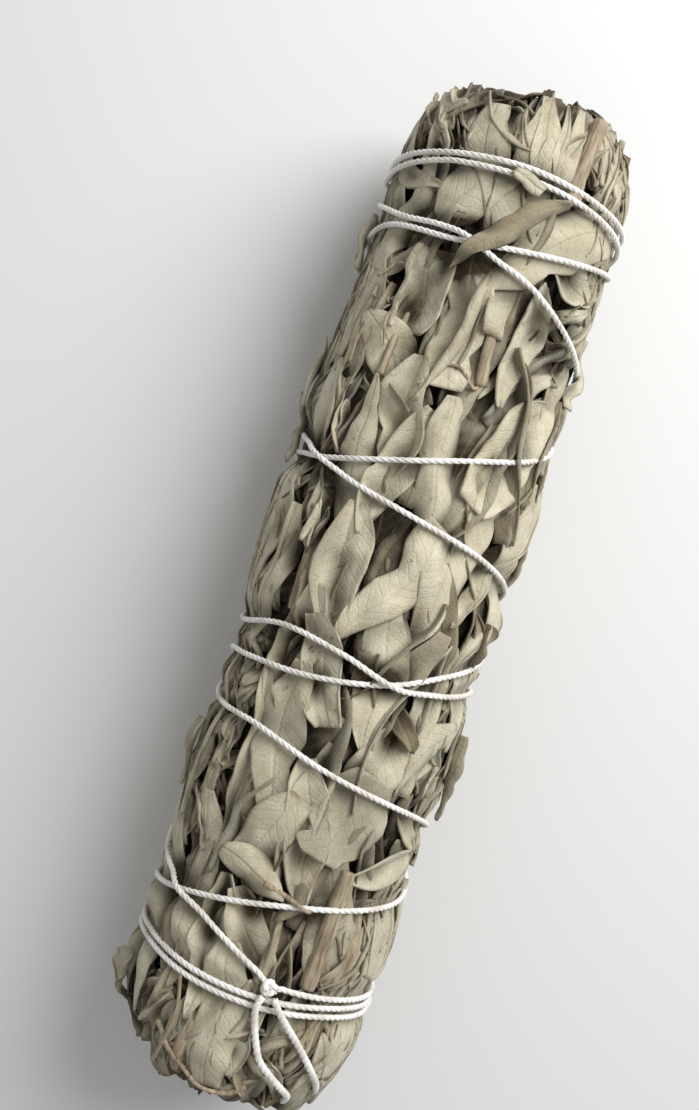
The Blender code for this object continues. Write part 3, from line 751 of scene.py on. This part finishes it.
def noise_share(tree, place, scale, detail=2.0, rough=0.5):
    sockets = (("Vector", place), ("Scale", scale), ("Detail", detail), ("Roughness", rough))
    return add_node(tree, "ShaderNodeTexNoise", sockets).outputs["Fac"]


def colour_ramp(tree, share, low_at, low_colour, high_at, high_colour):
    ramp = add_node(tree, "ShaderNodeValToRGB", (("Fac", share),))
    low, high = ramp.color_ramp.elements
    low.position, high.position = low_at, high_at
    low.color, high.color = (*low_colour, 1.0), (*high_colour, 1.0)
    return ramp.outputs["Color"]


def add_bump(tree, shader, height, strength, distance):
    sockets = (("Height", height), ("Strength", strength), ("Distance", distance))
    bump = add_node(tree, "ShaderNodeBump", sockets)
    tree.links.new(bump.outputs["Normal"], shader.inputs["Normal"])


cotton, shader = new_material(
    "cotton_string", {"Roughness": 0.95, "Sheen Weight": 0.35, "Sheen Roughness": 0.6}
)
tree = cotton.node_tree
place = object_place(tree)
fibre = noise_share(tree, place, 4200.0, 4.0)
soil = noise_share(tree, place, 180.0)
soil = colour_ramp(tree, soil, 0.30, (0.66, 0.62, 0.55), 0.55, (0.88, 0.87, 0.85))
tree.links.new(soil, shader.inputs["Base Color"])
add_bump(tree, shader, fibre, 0.5, 0.0001)


def add_piece(name, mesh, material, slot, *nodes):
    """Finish a mesh as a piece that rides on the bundle and stands for the CAD nodes named."""
    mesh.materials.clear()
    mesh.materials.append(material)
    piece = add_object(f"sage_{name}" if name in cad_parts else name, mesh)
    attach(piece, "root")
    if nodes:
        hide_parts(*nodes)
    return piece


wrap_points = np.array([
    on_bundle(angle, y, lift) for angle, y, lift in zip(wrap_angles, wrap_y, wrap_lift)
])
STRING_PITCH = 0.0046
STRING_CELL = 0.00047
knot_low, knot_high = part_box("string_knot")
knot_middle = (knot_low + knot_high) / 2
wrap_line = even_row(np.vstack([knot_middle, wrap_points[::3], knot_middle]), STRING_CELL)
wrap_rods = twisted(wrap_line, STRING_RADIUS * MM, STRING_PITCH)
wrap_mesh = rod_mesh("string_wrap", wrap_rods, 6)
add_piece("string_wrap", wrap_mesh, cotton, "cotton_string", "string_wrap")

# The knot: the string's two ends tied over the wound string, a small overhand knot of the same
# string, with two tails that lie down over the leaves of the stalk end.
LEFT_TAIL = [
    (6, -81.5, 28.3), (5, -84.0, 28.2), (7, -87.5, 27.2), (10, -91.0, 26.9), (14, -94.4, 26.9),
    (21, -97.2, 26.7), (29, -99.8, 25.9), (37, -102.2, 24.2), (42, -104.6, 21.4),
]
RIGHT_TAIL = [
    (11, -81.3, 28.4), (15, -83.8, 28.3), (21, -86.6, 27.4), (28, -89.6, 27.1), (35, -92.8, 27.0),
    (42, -96.0, 26.9), (49, -98.8, 26.0), (56, -101.4, 24.4), (62, -103.6, 22.4),
]
TAIL_RADIUS = 0.75
TAIL_PITCH = 0.0042
TAIL_CELL = 0.00045
KNOT_PITCH = 0.003
KNOT_CELL = 0.0004
KNOT_STEPS = 64
KNOT_ACROSS, KNOT_ALONG, KNOT_OUT = 0.50, 0.42, 0.62
knot_turn = math.atan2(knot_middle.x, knot_middle.z - AXIS_HEIGHT * MM)
knot_points = []
for step in range(KNOT_STEPS):
    turn = math.tau * (0.02 + 0.96 * step / (KNOT_STEPS - 1))
    ring = 2.0 + math.cos(3 * turn)
    across = KNOT_ACROSS * ring * math.cos(2 * turn)
    along = KNOT_ALONG * ring * math.sin(2 * turn)
    out = KNOT_OUT * math.sin(3 * turn)
    knot_points.append(knot_middle + Vector((
        across * math.cos(knot_turn) + out * math.sin(knot_turn),
        along,
        out * math.cos(knot_turn) - across * math.sin(knot_turn),
    )) * MM)
knot_rods = twisted(even_row(knot_points, KNOT_CELL), STRING_RADIUS * MM, KNOT_PITCH)
knot_mesh = rod_mesh("string_knot", knot_rods, 8)
add_piece("string_knot", knot_mesh, cotton, "cotton_string", "string_knot")
for name, rows in (("string_tail_left", LEFT_TAIL), ("string_tail_right", RIGHT_TAIL)):
    tail_line = even_row([on_bundle(*row) for row in rows], TAIL_CELL)
    tail_rods = twisted(tail_line, TAIL_RADIUS * MM, TAIL_PITCH, fray=0.5)
    tail = add_piece(name, rod_mesh(name, tail_rods, 8), cotton, "cotton_string", name)

# A few leaves and leaf tips have worked out over the string and lie on top of it. They rest on
# the string where it passes under them, so it is added to the surface first.
for place in range(len(wrap_angles)):
    around_u = wrap_u[place] + np.array([-PATCH, 0.0, PATCH])
    column, row = patch_of(around_u, np.full(3, wrap_y[place]))
    for shift in (-1, 0, 1):
        surface[column, row + shift] = np.maximum(
            surface[column, row + shift], wrap_lift[place] + STRING_RADIUS
        )
OVER_LEAVES = [
    ("over_leaf_brown", (25, 88), (-16, 68), 6.5, "ridged", 0.7,
     dict(warmth=0.7, brown=0.8, bend=1.5)),
    ("over_leaf_ring", (-3, 90.5), (11, 88), 3.0, "flat", 1.02, dict(ends=(0.6, 0.7), point=4)),
    ("brown_bract", (58, 3), (68, -8), 6.0, "crumpled", 0.75,
     dict(warmth=1.0, brown=1.0, sink=1.2)),
    ("brown_scrap", (27, -19), (36, -27), 5.0, "crumpled", 0.6, dict(warmth=1.0, brown=1.0)),
    ("flank_tip_upper_left", (-78, 34), (-91, 51), 6.0, "cupped", 0.95, dict(tip_lift=1.2)),
    ("flank_tip_left", (-80, 22), (-92, 38), 5.0, "crumpled", 0.9, dict(tip_lift=1.2)),
    ("flank_tip_lower_left", (-80, -36), (-90, -52), 4.5, "folded", 0.9, dict(tip_lift=1.0)),
    ("flank_tip_low_left", (-76, -88), (-90, -102), 6.0, "crumpled", 0.9, dict(tip_lift=1.0)),
    ("flank_tip_right", (76, -22), (92, -42), 4.0, "standing", 0.8, dict(warmth=0.5, tip_lift=1.5)),
    ("flank_tip_upper_right", (78, 52), (88, 68), 5.5, "cupped", 1.0, dict(tip_lift=0.8)),
    ("flank_tip_high_left", (-80, 66), (-90, 80), 5.0, "crumpled", 0.9, dict(tip_lift=0.8)),
    ("pale_tuft_a", (-41, 5), (-36, 15), 3.0, "crumpled", 1.15, dict(tip_lift=1.5)),
    ("pale_tuft_b", (-38, 6), (-44, 15), 2.6, "rolled", 1.2, dict(tip_lift=1.5)),
    ("pale_tuft_c", (-40, 7), (-40, 16), 2.6, "standing", 1.18, dict(tip_lift=1.5)),
]
for name, base, tip, width, habit, tone, facts in OVER_LEAVES:
    lay_leaf(
        name, base, tip, width, habit, cell=FINE_CELL, tone=tone, stiff=8, over=True, **facts
    )

# Leaf finish: dry felt, pale grey green, darker and browner along torn edges, with a fine net of
# veins that runs out from the midrib, and scattered rust-brown spots.
felt, shader = new_material("dry_sage_leaf", {
    "Roughness": 0.92, "Specular IOR Level": 0.25, "Sheen Weight": 0.18, "Sheen Roughness": 0.55,
})
tree = felt.node_tree
place = object_place(tree)
tint = add_node(tree, "ShaderNodeAttribute", attribute_name="tint").outputs["Color"]
blade = add_node(tree, "ShaderNodeAttribute", attribute_name="blade").outputs["Vector"]
blade = add_node(tree, "ShaderNodeSeparateXYZ", (("Vector", blade),)).outputs


def arithmetic(operation, *values):
    sockets = tuple(enumerate(values))
    return add_node(felt.node_tree, "ShaderNodeMath", sockets, operation=operation).outputs["Value"]


def blend_colour(kind, share, first, second):
    sockets = (("Factor", share), ("A", first), ("B", second))
    node = add_node(felt.node_tree, "ShaderNodeMix", sockets, data_type="RGBA", blend_type=kind)
    return node.outputs["Result"]


def fade(value, low, high):
    sockets = (("Value", value), ("From Min", low), ("From Max", high))
    return add_node(felt.node_tree, "ShaderNodeMapRange", sockets).outputs["Result"]


VEIN_COLOUR = (0.36, 0.30, 0.20, 1.0)
SPOT_COLOUR = (0.20, 0.13, 0.07, 1.0)
from_midrib = arithmetic("ABSOLUTE", blade["Y"])
midrib = fade(from_midrib, 0.42, 0.10)
slant = arithmetic("MULTIPLY_ADD", from_midrib, -0.9, blade["X"])
wander = arithmetic("MULTIPLY_ADD", noise_share(tree, place, 300.0), 2.4, slant)
side_veins = fade(arithmetic("SINE", arithmetic("MULTIPLY", wander, 2.6)), 0.72, 1.0)
net = add_node(
    tree, "ShaderNodeTexVoronoi", (("Scale", 1100.0), ("Vector", place)),
    feature="DISTANCE_TO_EDGE",
)
net_lines = fade(net.outputs["Distance"], 0.10, 0.0)
grain = noise_share(tree, place, 3200.0, 3.0, 0.7)
mottle = noise_share(tree, place, 190.0, 4.0, 0.6)
spots = fade(noise_share(tree, place, 420.0), 0.70, 0.78)
blotches = colour_ramp(tree, mottle, 0.30, (0.78, 0.76, 0.70), 0.68, (1.06, 1.06, 1.05))
colour = blend_colour("MULTIPLY", 1.0, tint, blotches)
speckle = colour_ramp(tree, grain, 0.30, (0.82, 0.82, 0.80), 0.70, (1.10, 1.10, 1.08))
colour = blend_colour("MULTIPLY", 0.9, colour, speckle)
vein_share = arithmetic("MAXIMUM", midrib, arithmetic("MULTIPLY", side_veins, 0.35))
vein_share = arithmetic("MULTIPLY", vein_share, 0.16)
colour = blend_colour("MIX", vein_share, colour, VEIN_COLOUR)
colour = blend_colour("MIX", arithmetic("MULTIPLY", spots, 0.6), colour, SPOT_COLOUR)
tree.links.new(colour, shader.inputs["Base Color"])
height = arithmetic("MULTIPLY", grain, 0.5)
for pattern, rise in ((net_lines, -0.25), (side_veins, -0.35), (midrib, -0.8), (mottle, 1.2)):
    height = arithmetic("MULTIPLY_ADD", pattern, rise, height)
add_bump(tree, shader, height, 0.55, 0.00036)

# The colour of each leaf, and the mesh of a piece. Leaves that lie deep under the others are given
# painted shade, darker the deeper they lie; torn edges and tips are brown.
LEAF_COLOUR = np.array([0.620, 0.582, 0.462])
LEAF_WARM = np.array([0.440, 0.365, 0.240])
# Painted shade: the share of each colour channel that the deepest-lying leaves lose.
PAINTED_DEPTH_SHADE = np.array([0.945, 0.96, 0.985])
EDGE_BROWN = np.array([0.130, 0.085, 0.045])
SHADE_STARTS = 1.0
SHADE_DEPTH = 2.3
ENVELOPE_REACH = (1, 2, 3)
ENVELOPE_PASSES = 12
# The smoothed outer surface of the bundle, from which the depth of the painted shade is measured.
envelope = surface.copy()
for reach in ENVELOPE_REACH:
    for axis in (0, 1):
        around = np.maximum(np.roll(envelope, reach, axis), np.roll(envelope, -reach, axis))
        envelope = np.maximum(envelope, around)
for _ in range(ENVELOPE_PASSES):
    for axis in (0, 1):
        around = np.roll(envelope, 1, axis) + np.roll(envelope, -1, axis)
        envelope = 0.5 * envelope + 0.25 * around


def leaf_tint(leaf):
    """Colour of each point of a leaf: its tone, browner on its edges and tip, with painted shade
    deep down.
    """
    draw = np.random.default_rng(leaf["seed"])
    along, across = leaf["along"], leaf["across"]
    warm = leaf["warmth"] + 0.22 * waves(along, across, 8.0, 30.0, 4, draw)
    warm = np.clip(warm, 0.0, 1.0)[..., None]
    colour = leaf["tone"] * (LEAF_COLOUR * (1 - warm) + LEAF_WARM * warm)
    patchy = 0.5 + 0.5 * waves(along, across, 3.0, 12.0, 5, draw)
    rim = np.clip((leaf["edge"] - 0.82) / 0.18, 0.0, 1.0) ** 1.2
    ends = np.clip((np.abs(leaf["share"] - 0.5) - 0.44) / 0.06, 0.0, 1.0)
    brown = np.maximum(rim, ends) * np.clip(patchy, 0.0, 1.4) * leaf["brown"] * 1.3
    brown = np.clip(brown, 0.0, 0.9)[..., None]
    # Painted shade: points that lie deeper under the leaves around them are made darker.
    under = envelope[patch_of(leaf["u"], leaf["v"])] - leaf["r"]
    painted_shade = np.clip(leaf.get("deep", (under - SHADE_STARTS) / SHADE_DEPTH), 0.0, 1.0)
    colour = colour * (1 - painted_shade[..., None] ** 1.25 * PAINTED_DEPTH_SHADE)
    return colour * (1 - brown) + EDGE_BROWN * brown


FLOOR_GAP = 0.12
SQUASHED = 1.48


def settled(points):
    """Squash what would sink into the floor, in millimetres, so that it lies on it."""
    top = FLOOR_GAP + SQUASHED
    low = points[:, 2] < top
    points[low, 2] = FLOOR_GAP + SQUASHED * np.exp((points[low, 2] - top) / SQUASHED)
    return points


def leaf_mesh(name, members):
    """One mesh of flat grids, one for each leaf, moved to where the leaves were laid."""
    bm = bmesh.new()
    places, tints, blades = [], [], []
    for leaf in members:
        rows, columns = leaf["u"].shape
        start = len(bm.verts)
        bmesh.ops.create_grid(bm, x_segments=rows - 1, y_segments=columns - 1, size=0.5)
        bm.verts.ensure_lookup_table()
        spots = np.array([vert.co[:2] for vert in bm.verts[start:]]) + 0.5
        index = tuple(np.rint(spots * (rows - 1, columns - 1)).astype(int).T)
        turn = leaf["u"][index] / MEAN_RADIUS
        r = leaf["r"][index]
        places.append(settled(np.column_stack([
            r * np.sin(turn), leaf["v"][index], AXIS_HEIGHT + r * np.cos(turn),
        ])))
        tints.append(leaf_tint(leaf)[index])
        blade = [leaf[measure][index] for measure in ("along", "across", "half")]
        blades.append(np.column_stack(blade))
    mesh = bpy.data.meshes.new(name)
    bm.to_mesh(mesh)
    bm.free()
    places = np.vstack(places) * MM
    mesh.vertices.foreach_set("co", places.ravel())
    tint_layer = mesh.attributes.new("tint", "FLOAT_COLOR", "POINT")
    tints = np.vstack(tints)
    tint_layer.data.foreach_set("color", np.column_stack([tints, np.ones(len(tints))]).ravel())
    blade_layer = mesh.attributes.new("blade", "FLOAT_VECTOR", "POINT")
    blade_layer.data.foreach_set("vector", np.vstack(blades).ravel())
    mesh.update()
    mesh.flip_normals()
    mesh.shade_smooth()
    return mesh


def add_leaves(name, members, slot, nodes=(), offset=-1.0):
    """Add a piece of leaves, each as thick as a leaf, inwards from its face or half each way."""
    piece = add_piece(name, leaf_mesh(name, members), felt, slot, *nodes)
    solid = piece.modifiers.new("thickness", "SOLIDIFY")
    solid.thickness = LEAF_THICKNESS * MM
    solid.offset = offset


# Crushed leaf crumbs fill the middle of the bundle, under everything. They show through the gaps,
# pulled in by the string like the leaves over them; their colour is partly their own dark brown and
# partly painted shade for those gaps.
CORE_HALF_LENGTH = 92.0
CORE_DEPTH = 0.4
bm = bmesh.new()
bmesh.ops.create_cone(bm, cap_ends=True, segments=72, radius1=1.0, radius2=1.0, depth=2.0)
everything = bm.verts[:] + bm.edges[:] + bm.faces[:]
bmesh.ops.bisect_plane(bm, geom=everything, plane_co=(0, 0, 0), plane_no=(0, 0, 1))
long_edges = [edge for edge in bm.edges if abs(edge.verts[0].co.z - edge.verts[1].co.z) > 0.5]
bmesh.ops.subdivide_edges(bm, edges=long_edges, cuts=60, use_grid_fill=False)
for vert in bm.verts:
    turn = math.atan2(vert.co.x, vert.co.y)
    y = vert.co.z * CORE_HALF_LENGTH + 1.0
    r = float(core_radius(np.array(turn % math.tau), np.array(y))) - CORE_DEPTH
    r = r - bite[patch_of(np.array([turn * MEAN_RADIUS]), np.array([y]))][0]
    r = r + 0.7 * noise.noise(Vector((turn * 12.0, y * 0.45, 0.0)))
    vert.co = Vector((r * math.sin(turn), y, AXIS_HEIGHT + r * math.cos(turn))) * MM
bmesh.ops.recalc_face_normals(bm, faces=bm.faces)
core_mesh = bpy.data.meshes.new("crumb_core")
bm.to_mesh(core_mesh)
bm.free()
core_mesh.shade_smooth()
crumbs, shader = new_material("leaf_crumbs", {"Roughness": 0.95})
tree = crumbs.node_tree
crumb_grain = noise_share(tree, object_place(tree), 500.0, 5.0, 0.7)
# Near-black crumb colour: their own dark brown, deepened as painted shade for the gaps.
crumb_colour_and_shade = colour_ramp(tree, crumb_grain, 0.0, (0.016, 0.011, 0.006), 1.0, (0.110, 0.085, 0.050))
tree.links.new(crumb_colour_and_shade, shader.inputs["Base Color"])
add_bump(tree, shader, crumb_grain, 1.0, 0.0006)
add_piece("crumb_core", core_mesh, crumbs, "inner_leaf", "inner_leaves_1")

# Leaf tips stand side by side in one end of the bundle, and leaf ends in the other, each rolled
# its own way and held only by its neighbours.
END_LEAVES = 250
END_RADIUS = 20.0
END_LIMIT = 22.5


def loose_leaf(x, z, v, share, side, half, length, **looks):
    """A leaf that isn't laid on others: x and z are measured from the bundle's axis."""
    return dict(
        u=np.arctan2(x, z) * MEAN_RADIUS, v=v, r=np.hypot(x, z), along=share * length,
        across=side * half, share=share, edge=np.abs(side), half=half, **looks,
    )


for end in (1, -1):
    members = []
    for _ in range(END_LEAVES):
        middle = END_RADIUS * math.sqrt(rng.random())
        turn = rng.uniform(-math.pi, math.pi)
        length = rng.uniform(12.0, 18.0)
        width = rng.uniform(5.0, 10.0)
        outer = rng.uniform(99.0, 109.0) if end > 0 else -rng.uniform(92.0, 103.0)
        shares = np.linspace(0.0, 1.0, 15)
        sides = np.linspace(-1.0, 1.0, 7)
        share, side = np.meshgrid(shares, sides, indexing="ij")
        narrowing = rng.uniform(0.4, 0.95) * np.clip(share - 0.45, 0, 1) ** 1.3 / 0.55
        half = 0.5 * width * (1 - narrowing)
        roll = rng.uniform(-math.pi, math.pi)
        curl = rng.uniform(-1.6, 1.6)
        flat = side * half * math.cos(0.4 * curl)
        hills = waves(share * length, side * half, 5.0, 14.0, 5, rng)
        out = curl * 0.5 * half * side ** 2 + 0.4 * hills
        spread = 1.0 + rng.uniform(-0.05, 0.12) * share
        x = middle * math.sin(turn) * spread + flat * math.cos(roll) - out * math.sin(roll)
        z = middle * math.cos(turn) * spread + flat * math.sin(roll) + out * math.cos(roll)
        over = np.maximum(np.hypot(x, z) / END_LIMIT, 1.0)
        x, z = x / over, z / over
        # Painted shade: each end leaf is made darker towards its inner end, deep in the bundle.
        members.append(loose_leaf(
            x, z, outer - end * (1 - share) * length, share, side, half, length,
            tone=rng.uniform(0.55, 1.0), deep=1.2 - 1.2 * share, warmth=rng.uniform(-0.2, 0.8),
            brown=rng.uniform(0.3, 1.0), seed=int(rng.integers(1 << 30)),
        ))
    add_leaves("tip_end_leaves" if end > 0 else "stalk_end_leaves", members, "inner_leaf")

# The leaves that were laid, grouped into their pieces: one for each outer leaf, and one for the
# small leaves of each sixth of the bundle's girth in each third of its length.
owners = {}
for leaf in leaves:
    owners.setdefault(leaf["owner"], []).append(leaf)
shown_nodes = set()
for owner, members in owners.items():
    stands_for = []
    if owner.startswith("outer_leaf"):
        stands_for = [owner]
    if owner.startswith("sprig_leaves"):
        node = f"inner_leaves_{owner.split('_')[2]}"
        if node not in shown_nodes:
            stands_for = [node]
            shown_nodes.add(node)
    slot = "inner_leaf" if owner.startswith("sprig") else "outer_leaf"
    add_leaves(owner, members, slot, stands_for)

# Stems: woody, tan to grey brown, ridged lengthwise, with a cut face and small nodes. The seven
# main stems run along the middle of the bundle, inside the leaves that grew on them.
bark, shader = new_material("stem_bark", {"Roughness": 0.85})
tree = bark.node_tree
sockets = (("Vector", object_place(tree)), ("Scale", (1.0, 0.12, 1.0)))
stretched = add_node(tree, "ShaderNodeMapping", sockets).outputs["Vector"]
streaks = noise_share(tree, stretched, 1400.0, 5.0)
wood = colour_ramp(tree, streaks, 0.32, (0.20, 0.150, 0.095), 0.66, (0.46, 0.385, 0.270))
tree.links.new(wood, shader.inputs["Base Color"])
add_bump(tree, shader, streaks, 0.8, 0.0002)
STEM_CELL = 0.0007


def add_stem(name, points, radii, *nodes):
    line = even_row(points, STEM_CELL)
    shares = np.linspace(0.0, 1.0, len(line))
    thick = np.interp(shares, np.linspace(0.0, 1.0, len(radii)), radii)
    for place, share in enumerate(shares):
        thick[place] *= 1 + 0.14 * noise.noise(Vector((share * 14.0, len(name) * 3.7, 0.0)))
    add_piece(name, rod_mesh(name, [(line, thick)], 12), bark, "stem_bark", *nodes)


for number in range(1, 8):
    node = f"stem_{number}"
    low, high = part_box(node)
    middle = (low + high) / 2
    rows = np.linspace(low.y, high.y, 8)
    points = [(middle.x + 0.0006 * math.sin(90 * y + number), y, middle.z) for y in rows]
    add_stem(node, points, (0.0021, 0.0018, 0.0012), node)

# Side shoots: shorter woody stems that branch off between the outer leaves. Each is a row of
# (degrees, y) and its radii, at the mean height of the leaves that it lies between.
SIDE_SHOOTS = [
    (1, [(27, -79), (28, -70), (28, -60), (29, -54)], (0.0017, 0.0019, 0.0016)),
    (2, [(-39, -7), (-40, -1), (-40, 5), (-41, 10)], (0.0011, 0.0012, 0.0012)),
    (3, [(15, 48), (13, 54), (12, 60), (10, 64)], (0.0015, 0.0012, 0.0014)),
    (4, [(28, 89), (28, 95), (29, 102), (30, 107)], (0.0019, 0.0017, 0.0018)),
]


def on_leaves(angle, y, above):
    """Place on the leaves, so many millimetres above them."""
    column, row = patch_of(np.array([math.radians(angle) * MEAN_RADIUS]), np.array([float(y)]))
    return on_bundle(angle, y, float(surface[column, row][0]) + above)


for number, rows, radii in SIDE_SHOOTS:
    node = f"side_shoot_{number}"
    heights = [on_leaves(angle, y, 0.0) for angle, y in rows]
    level = np.mean([math.hypot(spot.x, spot.z - AXIS_HEIGHT * MM) for spot in heights]) / MM
    add_stem(node, [on_bundle(angle, y, level - 0.1) for angle, y in rows], radii, node)

# Leaf stalks and stem stubs: the stalks are thin, curved and leathery, the stubs straight and
# woody. Each has its row of (degrees, y), its height above the leaves and its thicknesses in mm.
STALKS = [
    ("stub_left", [(-20, -90), (-23, -97), (-25, -103), (-26, -107)], -0.9, (3.4, 3.2, 3.1, 3.0)),
    ("stub_right", [(34, -90), (36, -97), (38, -104)], -1.2, (2.8, 2.6, 2.5)),
    ("stub_middle", [(2, -66), (4, -74), (3, -80)], -0.7, (2.8, 2.6, 2.6)),
    ("stub_low_right", [(44, -62), (42, -70), (40, -78)], -0.6, (2.4, 2.6, 2.4)),
    ("stub_tip", [(48, 92), (50, 99), (52, 105)], -0.9, (2.6, 2.4, 2.2)),
    ("stub_shoulder", [(-34, 44), (-33, 52), (-34, 58)], -0.8, (1.8, 1.8, 1.6)),
    ("stalk_over_string", [(-8, -60.5), (2, -61.6), (12, -62.8), (21, -64.2)], 1.0,
     (1.3, 0.9, 0.6)),
    ("stalk_at_cut_end",
     [(-36, -95), (-28, -99), (-20, -102), (-8, -104), (6, -104), (14, -101.5)], 0.6,
     (1.1, 0.9, 0.8, 1.2)),
    ("stalk_left_of_end", [(-30, -84), (-27, -91), (-30, -98), (-36, -104)], 0.8, (0.7, 0.8, 0.9)),
    ("stalk_curled", [(-52, 64), (-44, 68), (-40, 64), (-45, 60), (-53, 60)], 0.6, (0.6, 0.6, 0.5)),
    ("stalk_broken", [(-50, 45), (-49, 50), (-47, 54)], 1.2, (0.6, 0.8, 1.0)),
    ("stalk_branched", [(-14, 44), (-7, 49), (2, 50), (11, 47), (16, 49)], 0.5, (0.7, 0.7, 0.9)),
    ("stalk_long_left", [(-40, 70), (-43, 62), (-38, 55), (-35, 50)], 0.5, (0.5, 0.5, 0.5)),
]
for name, rows, above, widths in STALKS:
    points = [on_leaves(angle, y, above) for angle, y in rows]
    add_stem(name, points, [0.5 * width * MM for width in widths])

# Leaves pressed flat under the bundle by its weight, where it rests on the floor. Two blades
# that overlap stand for each CAD leaf.
REST_LENGTHENED = 14.0
REST_DRAWN_IN = 0.93
for number in range(1, 5):
    node = f"rest_leaf_{number}"
    low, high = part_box(node)
    members = []
    length = (high.y - low.y) / MM + REST_LENGTHENED
    width = (high.x - low.x) / MM
    for place in range(2):
        share, side = np.meshgrid(np.linspace(0, 1, 34), np.linspace(-1, 1, 15), indexing="ij")
        half = 0.5 * width * (1 - np.abs(2 * share - 1) ** 2.4 * 0.85) * (0.8 if place else 0.62)
        middle_y = (low.y + high.y) / 2 / MM * REST_DRAWN_IN + (3.0 if place else -4.0)
        x = side * half + (3.0 if place else -3.5)
        hills = waves(share * length, side * half, 6.0, 16.0, 5, rng)
        z = -AXIS_HEIGHT + 1.0 + 0.4 * place + 0.2 * hills
        members.append(loose_leaf(
            x, z, middle_y + (share - 0.5) * length, share, side, half, length,
            tone=0.95, warmth=0.1, brown=0.4, seed=number * 10 + place,
        ))
    add_leaves(node, members, "outer_leaf", [node], offset=0.0)

low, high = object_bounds()
